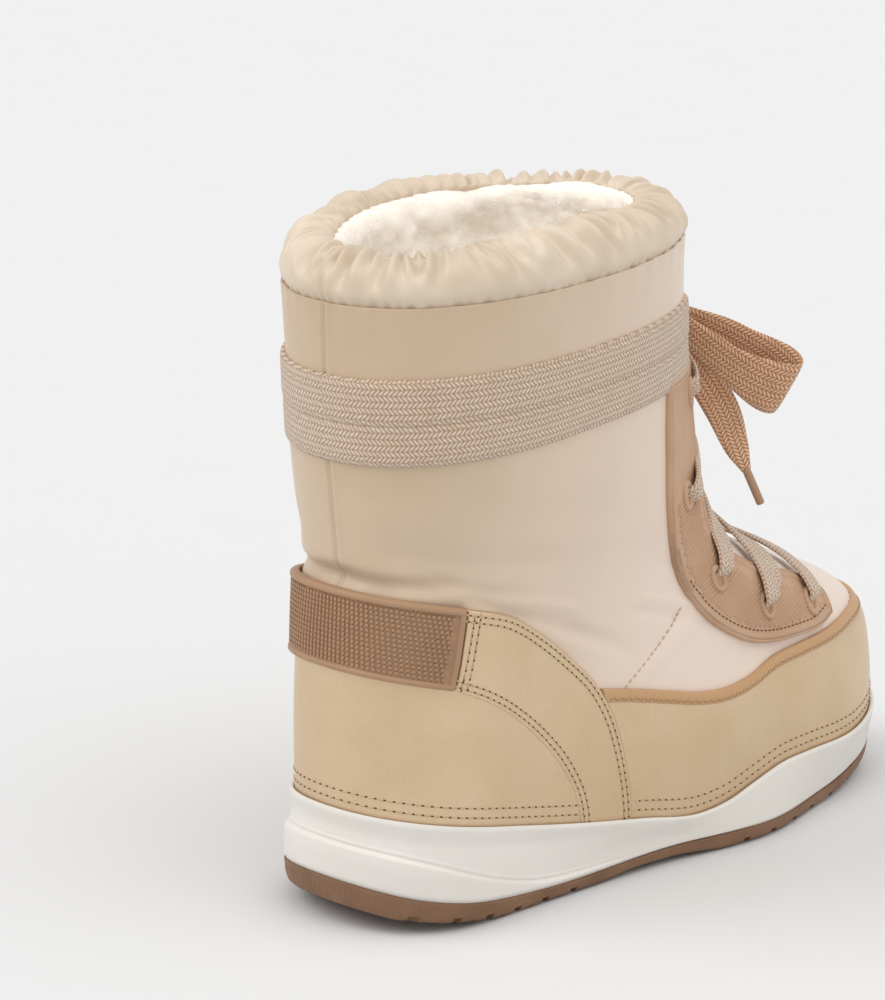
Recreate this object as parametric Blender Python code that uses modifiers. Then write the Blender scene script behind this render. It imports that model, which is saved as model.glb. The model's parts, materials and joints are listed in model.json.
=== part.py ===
"""Apres ski boot for the right foot, modelled in millimetres and written out in metres.

+X runs to the toe, +Y to the wearer's left (the inner side), +Z up.  The upper is a
loft of sections that tilt from level under the foot to level again at the collar, so
their front ends run up the toe, along the instep and up the front of the shaft.  A
point of the upper is upper(around, up, out): around 0 is the back seam, 0 to 1 the
outer side, 1 the front and 1 to 2 the inner side; up counts the rows of SECTIONS.
"""
import math

import bpy
import numpy as np
from mathutils import Vector
from mathutils.bvhtree import BVHTree

MM = 0.001
GAP = 0.3            # clearance between curved neighbours

# The shoe's place over its origin
STAND_X = 1.0
STAND_Y = 0.0

# Upper
WALL = 4.5           # padded cloth and lining
END_POWER = 2.2      # roundness of a section's ends
AROUND = 40
SECTION_COLUMNS = ("back_x", "back_z", "front_x", "front_z", "sag", "heel_half",
                   "outer_half", "inner_half", "arch", "heel_round", "toe_round", "swing")
SECTIONS = (
    (-139.8, 31, 137.4, 22.5, -13.6, 39.0, 54.2, 47.2, 3.0, 46, 66, 4.8),
    (-140.0, 45, 138.0, 36.0, -13.0, 39.8, 55.0, 48.0, 3.0, 46, 67, 4.8),
    (-139.9, 62, 137.4, 51.5, -10.0, 40.4, 54.9, 48.0, 2.5, 46, 68, 4.8),
    (-139.1, 80, 133.4, 67.0, -4.0, 41.0, 53.2, 46.8, 1.5, 46, 68, 4.5),
    (-138.0, 96, 119.5, 80.0, 0.0, 41.5, 50.5, 46.0, 0.5, 47, 68, 4.0),
    (-137.2, 110, 93.5, 91.5, 2.0, 42.4, 48.5, 45.5, 0.0, 49, 67, 3.0),
    (-136.4, 122, 66.5, 102.5, 2.0, 43.6, 47.5, 46.0, 0.0, 52, 66, 2.0),
    (-136.3, 133, 46.0, 115.0, 1.0, 45.5, 47.5, 47.0, 0.0, 56, 68, 1.0),
    (-137.0, 143, 36.0, 131.0, 0.0, 47.8, 49.0, 48.5, 0.0, 60, 71, 0.0),
    (-138.4, 155, 30.0, 151.0, 0.0, 50.3, 51.0, 51.0, 0.0, 65, 75, 0.0),
    (-140.0, 172, 25.5, 178.0, 0.0, 52.8, 52.5, 52.5, 0.0, 71, 78, 0.0),
    (-141.2, 200, 22.0, 208.0, 0.0, 55.0, 55.0, 55.0, 0.0, 77, 80, 0.0),
    (-141.8, 227, 19.5, 237.0, 0.0, 58.0, 58.5, 58.5, 0.0, 80, 81, 0.0),
)
TOP_ROW = len(SECTIONS) - 1
UPPER_ROWS = (0, 1, 2, 3, 3.6, 4.2, 4.8, 5.4, 6, 6.6, 7.2, 8, 9, 10, 11, TOP_ROW)

# Sole outline and heights along the shoe
SOLE_AROUND = 52
SOLE_BACK, SOLE_FRONT = -146.0, 143.0
SOLE_HEEL_ROUND, SOLE_TOE_ROUND = 46.8, 68.0
SOLE_SWING = 4.8
OUTLINE_COLUMNS = ("x", "outer", "inner")
OUTLINE = ((-150, 44.9, 42.9), (-99, 44.9, 42.9), (-20, 49.5, 43.5),
           (40, 59.3, 54.0), (78, 53.2, 51.0), (150, 52.6, 51.0))
HEIGHT_COLUMNS = ("x", "tread", "joint")
HEIGHTS = ((-146, 9.5, 18.8), (-135, 5.4, 14.9), (-118, 2.6, 10.8), (-96, 0.0, 7.6),
           (-60, 0.0, 5.4), (-46, 0.0, 5.6), (-30, 1.6, 6.2), (-8, 1.8, 6.8), (12, 0.0, 6.6),
           (45, 0.0, 6.0), (78, 0.0, 6.5), (98, 1.6, 8.6), (120, 5.2, 12.4), (144, 11.4, 19.0))
FEATHER_COLUMNS = ("x", "z")
FEATHER = ((-142, 44.5), (-110, 37.6), (-60, 27.2), (-28, 22.0), (2, 17.4), (15, 18.8),
           (29, 22.8), (45, 26.6), (62, 27.2), (95, 27.2), (118, 30.0), (142, 34.5))
CUP_CLEAR = 2.4      # cup wall to the upper, room for the overlays
FOOT_CLEAR = 0.9              # the same at the footbed, where the sole's wall is thin at the toe
RIM = 1.3            # cup's top edge
LUG_DEPTH = 2.6
LUG_SLOT = 3.2
SLOTS_X = (-131, -117, -103, -89, -75, -61, 24, 39, 54, 69, 84, 99, 114, 128)
CHANNELS = ((-128, -48), (14, 92))      # lengthwise channels between the lugs
CHANNEL_WIDTH = 5.0
INSOLE = 4.0

# Gathered collar: inward and upward steps of its section at the back
COLLAR_COLUMNS = ("inward", "height")
COLLAR = ((0.2, 0.4), (-0.5, 3.6), (0.2, 8.9), (2.9, 13.9), (7.4, 17.3),
          (12.2, 18.5), (17.2, 17.0), (19.4, 13.6), (13.5, 7.6), (4.2, 1.1))
COLLAR_BACK_DROP = 0.13
COLLAR_FRONT_DROP = 0.30

# Overlays: side-view lines, each from its first to its last point
LINE_COLUMNS = ("x", "z")
OVERLAY = 1.3
WING_FRONT = ((-110.8, 118.4), (-93, 112.8), (-78, 103.4), (-62, 90.3), (-50.7, 79.0),
              (-43.2, 67.1), (-36.6, 48.4), (-32.5, 26.0), (-31.8, 15.0))
WING_REAR = ((-115.4, 88.8), (-105.4, 83.9), (-88.3, 72.4), (-76.5, 61.6), (-67.0, 50.3),
             (-59.6, 37.0), (-57.0, 26.8), (-56.6, 15.0))
TAPE_TOP = ((-56, 77.4), (-47.6, 75.7), (-35.4, 73.3), (-13.6, 68.0), (2.1, 64.3), (15.7, 63.0),
            (31.3, 65.2), (41.3, 68.4), (60.4, 70.2), (78.2, 71.4), (98.3, 73.4), (120, 73.0), (138, 71.5))
TAPE_WIDTH = 5.6
STRAP_TOP = (125.2, -0.22)      # height at the back seam, slope forward
STRAP_BOTTOM = (95.8, -0.24)
STRAP_END = ((-111.4, 119.5), (-115.9, 88.6))
STRAP_THICK = 2.4
STRAP_FRAME = 2.2
STRAP_RECESS = 0.6
STAY_BACK = ((-17.2, 190), (-17.0, 160.6), (-15.8, 138.9), (-12.5, 122.3), (-7.2, 107.4), (1.3, 96.2),
             (13.0, 86.0), (30.6, 76.7), (45.0, 73.6), (60.0, 72.8), (72.3, 73.0), (83.0, 75.5))
STAY_FRONT = ((81.5, 85.0), (66.2, 93.8), (55.1, 98.0), (38.6, 103.8), (28.4, 110.4), (19.6, 122.0),
              (14.5, 140.0), (12.0, 160.0), (11.0, 190))
STAY_THICK = 1.8
EYELET_COLUMNS = ("around", "up", "turn")
EYELETS = ((0.781, 9.92, 0.0), (0.698, 8.34, 10.0), (0.629, 5.50, 30.0), (0.640, 4.26, 20.0), (0.710, 4.02, 10.0))
EYELET_HALF = (3.4, 5.2)        # across and along the slot
EYELET_RISE = 1.0

# Lace
LACE_THICK = 1.5
LACE_WIDTH = 9.0
WRAP_TOP = (201.0, 0.072)
WRAP_BOTTOM = (170.9, 0.085)
CROSS_LIFT = 4.2
CROSS_STEP = 0.75
CROSS_END = 8.0
KNOT = (29.6, 0.0, 200.0)
KNOT_HALF = (4.8, 6.0, 9.0)
BOW_TURN = math.radians(68.0)    # loop's heading from straight ahead
BOW_DROP = math.radians(26.0)
BOW_START = 6.2
BOW_LENGTH = 52.0
BOW_OPEN = 5.4
BOW_SHEAR = 0.62     # how far the near ply sits below the far one
BOW_WIDTH = 17.0
TAIL_COLUMNS = ("outward", "height", "width")
TAIL = ((2.6, -8.9, 4.0), (11.5, -16.0, 8.0), (21.5, -26.0, 9.5), (29.5, -39.0, 9.5), (34.5, -53.0, 8.5), (37.2, -61.0, 3.6))
AGLET_LENGTH = 15.0
AGLET_RADIUS = 1.6

LOOKS = {
    "nylon": ((0.79, 0.67, 0.54), 0.38, 0.0), "cuff": ((0.82, 0.72, 0.59), 0.35, 0.0),
    "metal_leather": ((0.66, 0.53, 0.36), 0.36, 0.45), "rubber": ((0.60, 0.42, 0.29), 0.55, 0.0),
    "lace": ((0.74, 0.56, 0.43), 0.85, 0.0), "midsole": ((0.90, 0.87, 0.82), 0.5, 0.0),
    "gum": ((0.42, 0.25, 0.15), 0.6, 0.0), "tape": ((0.72, 0.47, 0.23), 0.8, 0.0),
    "fleece": ((0.88, 0.80, 0.64), 0.95, 0.0),
}


def table(rows, columns):
    cols = np.array(rows, float).T
    return {name: cols[k] for k, name in enumerate(columns)}


def hermite(keys, values, at):
    """Smooth curve through a table's rows."""
    keys, values, at = np.asarray(keys, float), np.asarray(values, float), np.asarray(at, float)
    slope = np.gradient(values, keys, axis=0)
    k = np.clip(np.searchsorted(keys, at, side="right") - 1, 0, len(keys) - 2)
    step = keys[k + 1] - keys[k]
    t = (at - keys[k]) / step
    if values.ndim > 1:
        t, step = t[..., None], step[..., None]
    return ((2*t**3 - 3*t**2 + 1)*values[k] + (t**3 - 2*t**2 + t)*step*slope[k]
            + (-2*t**3 + 3*t**2)*values[k + 1] + (t**3 - t**2)*step*slope[k + 1])


def ease(t):
    t = np.clip(t, 0, 1)
    return t*t*(3 - 2*t)


def end_round(distance, length):
    r = np.clip(1 - distance/length, 0, 1)
    return (1 - r**END_POWER)**(1/END_POWER)


def along(around):
    """Share of the length, and whether the point is on the outer side."""
    turn = np.mod(around, 2.0)
    outer = turn <= 1
    return (1 - np.cos(np.pi*np.where(outer, turn, 2 - turn)))/2, outer


def section_surface(around, up):
    around, up = np.broadcast_arrays(np.asarray(around, float), np.asarray(up, float))
    rows = hermite(np.arange(len(SECTIONS)), SECTIONS, np.clip(up, 0, TOP_ROW))
    s = {name: rows[..., k] for k, name in enumerate(SECTION_COLUMNS)}
    share, outer = along(around)
    length = np.hypot(s["front_x"] - s["back_x"], s["front_z"] - s["back_z"])
    front = np.where(outer, s["outer_half"], s["inner_half"])
    half = s["heel_half"] + (front - s["heel_half"])*ease((share - 0.12)/0.55)
    half = half - np.where(outer, 0, s["arch"])*np.exp(-((share - 0.42)/0.14)**2)
    half = half*end_round(share*length, s["heel_round"])*end_round((1 - share)*length, s["toe_round"])
    x = s["back_x"] + (s["front_x"] - s["back_x"])*share
    y = s["swing"]*ease((share - 0.35)/0.6) + np.where(outer, -half, half)
    z = s["back_z"] + (s["front_z"] - s["back_z"])*share + s["sag"]*4*share*(1 - share)
    return np.stack([x, y, z], -1)


def normals(around, up):
    step = 1e-3
    a = section_surface(around + step, up) - section_surface(around - step, up)
    b = section_surface(around, np.minimum(up + 5*step, TOP_ROW)) - section_surface(around, np.maximum(up - 5*step, 0))
    n = np.cross(a, b)
    return n/np.linalg.norm(n, axis=-1)[..., None]


def upper(around, up, out=0.0):
    around, up = np.broadcast_arrays(np.asarray(around, float), np.asarray(up, float))
    return section_surface(around, up) + np.asarray(out)[..., None]*normals(around, up)


def level(around, line, low, high):
    """Row at which the upper reaches the height line(x)."""
    low, high = np.full(np.shape(around), float(low)), np.full(np.shape(around), float(high))
    for _ in range(40):
        mid = (low + high)/2
        p = section_surface(around, mid)
        above = p[..., 2] > line(p[..., 0])
        high, low = np.where(above, mid, high), np.where(above, low, mid)
    return (low + high)/2


def flat(n):
    h = n.copy()
    h[..., 2] = 0
    return h/np.linalg.norm(h, axis=-1)[..., None]


OUT_T = table(OUTLINE, OUTLINE_COLUMNS)
HGT_T = table(HEIGHTS, HEIGHT_COLUMNS)
FTH_T = table(FEATHER, FEATHER_COLUMNS)


def feather(x):
    return hermite(FTH_T["x"], FTH_T["z"], x)


def joint(x):
    return hermite(HGT_T["x"], HGT_T["joint"], x)


def tread(x):
    return np.maximum(np.interp(x, HGT_T["x"], HGT_T["tread"]), 0)


def footbed(x):
    back_x, back_z, front_x, front_z, sag = SECTIONS[0][:5]
    share = np.clip((x - back_x)/(front_x - back_x), 0, 1)
    return back_z + (front_z - back_z)*share + sag*4*share*(1 - share) - GAP


def outline(around, inset=0.0):
    share, outer = along(around)
    span = SOLE_FRONT - SOLE_BACK
    x = SOLE_BACK + span*share
    half = np.where(outer, hermite(OUT_T["x"], OUT_T["outer"], x), hermite(OUT_T["x"], OUT_T["inner"], x))
    half = half*end_round(span*share, SOLE_HEEL_ROUND)*end_round(span*(1 - share), SOLE_TOE_ROUND)
    y = SOLE_SWING*np.clip((x + 20)/120, 0, 1)**1.5 + np.where(outer, -half, half)
    p = np.stack([x, y], -1)
    t = np.roll(p, -1, 0) - np.roll(p, 1, 0)
    t /= np.linalg.norm(t, axis=1)[:, None]
    return p + np.stack([-t[:, 1], t[:, 0]], -1)*inset


bpy_parts = None
bpy_cutters = None


def collection(name):
    made = bpy.data.collections.new(name)
    bpy.context.scene.collection.children.link(made)
    return made


def material(look):
    if look in bpy.data.materials:
        return bpy.data.materials[look]
    colour, rough, metal = LOOKS[look]
    made = bpy.data.materials.new(look)
    made.use_nodes = True
    node = made.node_tree.nodes["Principled BSDF"]
    node.inputs["Base Color"].default_value = (*colour, 1)
    node.inputs["Roughness"].default_value = rough
    node.inputs["Metallic"].default_value = metal
    return made


def new_object(name, points, faces, look, cutter=False):
    mesh = bpy.data.meshes.new(name)
    pts = (np.asarray(points, float).reshape(-1, 3) + (STAND_X, STAND_Y, 0.0))*MM
    mesh.from_pydata([tuple(p) for p in pts], [], faces)
    mesh.update()
    made = bpy.data.objects.new(name, mesh)
    if cutter:
        made.hide_render = True
        made.display_type = "WIRE"
        bpy_cutters.objects.link(made)
    else:
        mesh.materials.append(material(look))
        for poly in mesh.polygons:
            poly.use_smooth = True
        bpy_parts.objects.link(made)
    return made


def grid_faces(rows, cols, wrap_cols=False, wrap_rows=False):
    faces = []
    for i in range(rows if wrap_rows else rows - 1):
        for j in range(cols if wrap_cols else cols - 1):
            a, b = i*cols + j, i*cols + (j + 1) % cols
            c, d = ((i + 1) % rows)*cols + (j + 1) % cols, ((i + 1) % rows)*cols + j
            faces.append((a, b, c, d))
    return faces


def across(count, first, up):
    """Faces that close a ring of count points from side to side."""
    faces = []
    for k in range(count//2):
        a, b = first + k, first + k + 1
        c, d = first + (count - k - 1) % count, first + (count - k) % count
        quad = (a, b, c, d) if k else (a, b, c)
        quad = (a, b, d) if b == c else quad
        faces.append(quad if up else quad[::-1])
    return faces


def ring_solid(name, rings, look, bottom=True, top=True):
    count = len(rings[0])
    points = np.concatenate(rings)
    faces = grid_faces(len(rings), count, wrap_cols=True)
    if bottom:
        faces += across(count, 0, False)
    if top:
        faces += across(count, (len(rings) - 1)*count, True)
    return new_object(name, points, faces, look)


def skin(name, turn, rise, out, thick, look, closed=False, cutter=False):
    """A patch of the upper's own grid, from turn[0] to turn[1] round it and between two
    rows, thickened outward by thick."""
    around = np.arange(round(turn[0]*AROUND/2), round(turn[1]*AROUND/2) + (0 if closed else 1))*2.0/AROUND
    up = [row for row in UPPER_ROWS if rise[0] <= row <= rise[1]]
    a, u = np.meshgrid(around, up)
    made = new_object(name, upper(a, u, np.full(a.shape, out)), grid_faces(len(up), len(around), wrap_cols=closed), look, cutter)
    shell = made.modifiers.new("shell", "SOLIDIFY")
    shell.thickness = abs(thick)*MM
    shell.offset = 1 if thick > 0 else -1
    shell.use_even_offset = True
    return made


def plate(name, corners, reach=90.0, centre=0.0):
    """A prism across the shoe over a side-view outline."""
    pts = np.array([(x, centre - reach, z) for x, z in corners])
    area = np.sum(pts[:, 0]*np.roll(pts[:, 2], -1) - np.roll(pts[:, 0], -1)*pts[:, 2])
    face = tuple(range(len(pts))) if area > 0 else tuple(range(len(pts)))[::-1]
    made = new_object(name, pts, [face], None, cutter=True)
    solid = made.modifiers.new("depth", "SOLIDIFY")
    solid.thickness = 2*reach*MM
    solid.offset = -1
    return made


def cut(target, operation, other, label):
    mod = target.modifiers.new(label, "BOOLEAN")
    mod.operation = operation
    mod.solver = "EXACT"
    mod.object = other
    return target


def line(rows, count=None, shift=(0.0, 0.0)):
    """A smooth side-view line through its table, moved by shift."""
    pts = np.array(rows, float)
    run = np.concatenate([[0], np.cumsum(np.hypot(*np.diff(pts, axis=0).T))])
    s = np.linspace(0, run[-1], count or 2*len(pts))
    got = np.stack([hermite(run, pts[:, 0], s), hermite(run, pts[:, 1], s)], -1)
    return [tuple(p) for p in got + np.array(shift)]


def offset_line(pts, distance):
    """The side-view line moved sideways, to its right when distance is positive."""
    p = np.array(pts, float)
    t = np.gradient(p, axis=0)
    t /= np.linalg.norm(t, axis=1)[:, None]
    return [tuple(q) for q in p + np.stack([t[:, 1], -t[:, 0]], -1)*distance]


def feather_edge(x0, x1, drop=2.2, count=9):
    xs = np.linspace(x0, x1, count)
    return [(x, feather(x) - drop) for x in xs]


def band(name, around, low, high, out, thick, look, closed):
    """A strip on the upper between two rows for each place around it."""
    a = np.asarray(around, float)
    corners = [upper(a, low, out + 0*a), upper(a, high, out + 0*a),
               upper(a, high, out + thick + 0*a), upper(a, low, out + thick + 0*a)]
    pts = np.stack(corners, 1).reshape(-1, 3)
    count = len(a)
    faces = []
    for i in range(count if closed else count - 1):
        n = (i + 1) % count
        for j in range(4):
            k = (j + 1) % 4
            faces.append((i*4 + j, i*4 + k, n*4 + k, n*4 + j))
    if not closed:
        faces += [(0, 3, 2, 1), tuple((count - 1)*4 + k for k in range(4))]
    return new_object(name, pts, faces, look)


def strip(name, path, width_dir, thick_dir, width, thick, look, closed=False, cutter=False):
    """A flat ribbon along a path."""
    p, w, n = (np.asarray(q, float) for q in (path, width_dir, thick_dir))
    half_w = np.broadcast_to(np.asarray(width, float), (len(p),))[:, None]/2
    pts = np.stack([p - w*half_w - n*thick/2, p + w*half_w - n*thick/2,
                    p + w*half_w + n*thick/2, p - w*half_w + n*thick/2], 1).reshape(-1, 3)
    faces = []
    for i in range(len(p) if closed else len(p) - 1):
        m = (i + 1) % len(p)
        for j in range(4):
            k = (j + 1) % 4
            faces.append((i*4 + j, m*4 + j, m*4 + k, i*4 + k))
    if not closed:
        faces += [(0, 1, 2, 3), tuple((len(p) - 1)*4 + k for k in (3, 2, 1, 0))]
    made = new_object(name, pts, faces, look, cutter)
    volume = sum(Vector(made.data.vertices[f.vertices[0]].co).dot(
        Vector(f.normal))*f.area for f in made.data.polygons)
    if volume < 0:
        made.data.flip_normals()
    return made


def build_sole():
    ring = np.arange(SOLE_AROUND)*2.0/SOLE_AROUND
    rings = []
    for inset, share in ((3.4, 0.0), (0.9, 0.22), (0.0, 0.6), (0.3, 1.0)):
        p = outline(ring, inset)
        rings.append(np.column_stack([p, tread(p[:, 0])*(1 - share) + joint(p[:, 0])*share]))
    sole = ring_solid("outsole", rings, "gum")
    slots = collection("lug_slots")
    for x in SLOTS_X:
        top = float(tread(np.array(x))) + LUG_DEPTH
        made = plate("slot_%d" % x, ((x - LUG_SLOT/2, -6), (x + LUG_SLOT/2, -6), (x + LUG_SLOT/2, top), (x - LUG_SLOT/2, top)))
        bpy_cutters.objects.unlink(made)
        slots.objects.link(made)
    for x0, x1 in CHANNELS:
        made = plate("channel_%d" % x0, ((x0, -6), (x1, -6), (x1, LUG_DEPTH), (x0, LUG_DEPTH)), CHANNEL_WIDTH/2, 1.0)
        bpy_cutters.objects.unlink(made)
        slots.objects.link(made)
    mod = sole.modifiers.new("lugs", "BOOLEAN")
    mod.operation, mod.solver, mod.operand_type, mod.collection = "DIFFERENCE", "EXACT", "COLLECTION", slots

    rim_row = level(ring, feather, 0, 3)
    rim = section_surface(ring, rim_row)
    side = flat(normals(ring, rim_row))
    step = 0.52 - 0.40*ease((outline(ring)[:, 0] + 142)/75)
    deep = 1.1*(1 - ease((outline(ring)[:, 0] + 80)/50))
    rings = []
    for kind, share in (("edge", 0.0), ("low", 0.07), ("step", -0.05), ("step", 0.05), ("wall", 0.72), ("lip", 0.94), ("lip", 1.0)):
        t = share if kind != "step" else step + share
        t = np.broadcast_to(np.asarray(t, float), ring.shape)
        inset = {"edge": 0.8, "low": 0.0, "wall": 0.5, "lip": 1.2}.get(kind, 0.0)
        low = outline(ring, inset)
        if kind == "step" and share > 0 or kind == "wall":
            low = outline(ring, inset) - side[:, :2]*deep[:, None]
        lean = ease((t - 0.30)/0.70)
        lip = rim[:, :2] + side[:, :2]*(CUP_CLEAR + RIM - (0.0 if share < 1 else 0.35))
        xy = low*(1 - lean[:, None]) + lip*lean[:, None]
        z = (joint(low[:, 0]) + GAP)*(1 - t) + feather(rim[:, 0])*t
        rings.append(np.column_stack([xy, z]))
    inner = rim + side*CUP_CLEAR
    floor = section_surface(ring, 0*ring)
    foot = floor + flat(normals(ring, 0*ring))*FOOT_CLEAR
    mid_row = rim_row/2
    mid = section_surface(ring, mid_row) + flat(normals(ring, mid_row))*CUP_CLEAR
    foot[:, 2] = footbed(foot[:, 0])
    rings += [np.column_stack([inner[:, :2], feather(rim[:, 0])]), mid, foot]
    count = len(ring)
    faces = grid_faces(len(rings), count, wrap_cols=True) + across(count, 0, False) + across(count, (len(rings) - 1)*count, True)
    new_object("midsole", np.concatenate(rings), faces, "midsole")

    inner_ring = section_surface(ring, 0*ring + 0.1) - flat(normals(ring, 0*ring + 0.1))*(WALL + 0.8)
    low, high = inner_ring.copy(), inner_ring.copy()
    low[:, 2] = footbed(low[:, 0]) + GAP
    high[:, 2] = low[:, 2] + INSOLE
    ring_solid("insole", [low, high], "fleece")


def build_upper():
    ring = np.arange(AROUND)*2.0/AROUND
    shell = skin("upper", (0, 2), (0, TOP_ROW), 0.0, -WALL, "nylon", closed=True)
    base = section_surface(ring, 0*ring + TOP_ROW)
    inward = -flat(normals(ring, 0*ring + TOP_ROW))
    share, _ = along(ring)
    rings = []
    for d, h in COLLAR:
        drop = 1 - (COLLAR_BACK_DROP*(1 - ease(share/0.35)) + COLLAR_FRONT_DROP*ease((share - 0.45)/0.5))*(h > 1)
        rings.append(base + inward*d + np.column_stack([0*share, 0*share, h*drop]))
    faces = grid_faces(len(rings), len(ring), wrap_cols=True, wrap_rows=True)
    new_object("collar", np.concatenate(rings), faces, "cuff")
    return shell


def build_overlays():
    wing_front, wing_rear = line(WING_FRONT, 12), line(WING_REAR, 12)
    sides = (("lateral", 1), ("medial", -1))
    # heel counter, under the strap and behind the wings
    rear = [p for p in offset_line(wing_rear, 0.25) if p[1] > 27]
    counter = [(-160, 106), (-119.5, 101.5), (-116.2, 92.0)] + rear + feather_edge(-57.2, -160, 2.2, 7)
    cut(skin("heel_counter", (-0.40, 0.40), (0, 5.4), GAP, OVERLAY, "metal_leather"),
        "INTERSECT", plate("counter_outline", counter), "outline")
    # wings from the strap's ends down to the sole
    front = [p for p in offset_line(wing_front, 0.25) if p[1] > 20]
    back = [p for p in offset_line(wing_rear, -0.25) if p[1] > 27]
    wing = front + feather_edge(-32.8, -56.6, 2.2, 4) + back[::-1]
    for side, sign in sides:
        turn = (0.15, 0.50) if sign > 0 else (1.50, 1.85)
        cut(skin("wing_" + side, turn, (0, 6.6), GAP, OVERLAY + 0.25, "metal_leather"),
            "INTERSECT", plate("wing_outline_" + side, wing), "outline")
    # rand round the toe, under the tape
    tape = line(TAPE_TOP, 24)
    edge = [p for p in offset_line(wing_front, -0.25) if 20 < p[1] < 70.5][::-1]
    lower = [p for p in [(x, z - TAPE_WIDTH - 3*GAP) for x, z in tape] if p[0] > edge[-1][0] + 1.0]
    rand = edge + lower + [(165, 66), (165, 33)] + feather_edge(144, -31.5, 2.2, 12)
    cut(skin("toe_rand", (0.40, 1.60), (0, 3.6), GAP, OVERLAY, "metal_leather"),
        "INTERSECT", plate("rand_outline", rand), "outline")
    # tape over the rand's top edge
    xs, zs = np.array(tape).T
    top_line = lambda x: np.interp(x, xs, zs)
    around = np.arange(round(0.40*AROUND/2), round(1.60*AROUND/2) + 1)*2.0/AROUND
    band("rand_tape", around, level(around, lambda x: top_line(x) - TAPE_WIDTH, 0, 6), level(around, top_line, 0, 6),
         GAP, OVERLAY + 0.35, "tape", closed=False)

    # heel strap with a raised frame
    def strap_outline(inset):
        far = -170.0
        top = lambda x: STRAP_TOP[0] + STRAP_TOP[1]*(x + 139.3) - inset
        low = lambda x: STRAP_BOTTOM[0] + STRAP_BOTTOM[1]*(x + 142.7) + inset
        (x0, _), (x1, _) = STRAP_END
        return [(far, top(far)), (x0 - inset, top(x0)), (x1 - inset, low(x1)), (far, low(far))]
    strap = cut(skin("heel_strap", (-0.30, 0.30), (2, 7.2), OVERLAY + 2*GAP, STRAP_THICK, "rubber"),
                "INTERSECT", plate("strap_outline", strap_outline(0)), "outline")
    recess = cut(skin("strap_recess", (-0.30, 0.30), (2, 7.2), OVERLAY + 2*GAP + STRAP_THICK - STRAP_RECESS, 3.0, None, cutter=True),
                 "INTERSECT", plate("recess_outline", strap_outline(STRAP_FRAME)), "outline")
    cut(strap, "DIFFERENCE", recess, "recess")

    # eyestays with raised eyelets
    wrap_low = lambda x: WRAP_BOTTOM[0] + WRAP_BOTTOM[1]*(x + 142.6) - 0.6
    stay = [(x, min(z, wrap_low(x))) for x, z in line(STAY_BACK, 16) + line(STAY_FRONT, 12)]
    for side, sign in sides:
        turn = (0.50, 0.90) if sign > 0 else (1.10, 1.50)
        made = cut(skin("eyestay_" + side, turn, (3, TOP_ROW), GAP, STAY_THICK, "rubber"),
                   "INTERSECT", plate("stay_outline_" + side, stay), "outline")
        for k, (around_at, up_at, turned) in enumerate(EYELETS):
            place = around_at if sign > 0 else 2 - around_at
            cut(made, "UNION", eyelet("eyelet_%s_%d" % (side, k + 1), place, up_at, turned*sign), "eyelet%d" % k)


def frame_at(around, up):
    n = normals(np.array([around]), np.array([up]))[0]
    z = np.array([0, 0, 1.0])
    across_dir = np.cross(z, n)
    across_dir /= np.linalg.norm(across_dir)
    return across_dir, np.cross(n, across_dir), n


def eyelet(name, around, up, turn):
    """Oval boss that stands on the eyestay."""
    a, b, n = frame_at(around, up)
    foot = upper(np.array([around]), np.array([up]), np.array([GAP + STAY_THICK*0.45]))[0]
    c, s = math.cos(math.radians(turn)), math.sin(math.radians(turn))
    a, b = a*c + b*s, b*c - a*s
    ring = np.arange(8)*math.tau/8
    rings = []
    for h, grow in ((0.0, 0.4), (STAY_THICK*0.55 + EYELET_RISE, 0.0)):
        rings.append(foot + n*h + np.outer(np.cos(ring)*(EYELET_HALF[0] + grow), a) + np.outer(np.sin(ring)*(EYELET_HALF[1] + grow), b))
    faces = grid_faces(2, 8, wrap_cols=True) + [tuple(range(8))[::-1], tuple(8 + k for k in range(8))]
    return new_object(name, np.concatenate(rings), faces, None, cutter=True)


def outer_tree():
    around, up = np.meshgrid(np.arange(96)*2.0/96, np.linspace(0, TOP_ROW, 90))
    pts = section_surface(around, up).reshape(-1, 3)
    return BVHTree.FromPolygons([Vector(p) for p in pts], grid_faces(90, 96, wrap_cols=True))


def lace_run(tree, start, end, aim, lift, trim, count=8):
    """Path of a lace over the upper between two eyelets, with its side and its normal."""
    a, b = (section_surface(np.array(p[0]), np.array(p[1])) for p in (start, end))
    aim = Vector(aim).normalized()
    length = np.linalg.norm(b - a)
    pts, nrm = [], []
    for t in np.linspace(trim/length, 1 - trim/length, count):
        origin = Vector(a*(1 - t) + b*t) - aim*0.5
        hit, normal, _, _ = tree.ray_cast(origin, aim)
        normal = normal if normal.dot(aim) > 0 else -normal
        pts.append(np.array(hit))
        nrm.append(np.array(normal))
    pts, nrm = np.array(pts), np.array(nrm)
    for _ in range(2):
        nrm[1:-1] = (nrm[:-2] + nrm[1:-1] + nrm[2:])/3
    nrm /= np.linalg.norm(nrm, axis=1)[:, None]
    pts = pts + nrm*lift
    tangent = np.gradient(pts, axis=0)
    tangent /= np.linalg.norm(tangent, axis=1)[:, None]
    wide = np.cross(tangent, nrm)
    wide /= np.linalg.norm(wide, axis=1)[:, None]
    return pts, wide, np.cross(wide, tangent)


AIMS = ((1.0, 0, 0.10), (0.86, 0, 0.51), (0.42, 0, 0.91), (0.36, 0, 0.93))


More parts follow.
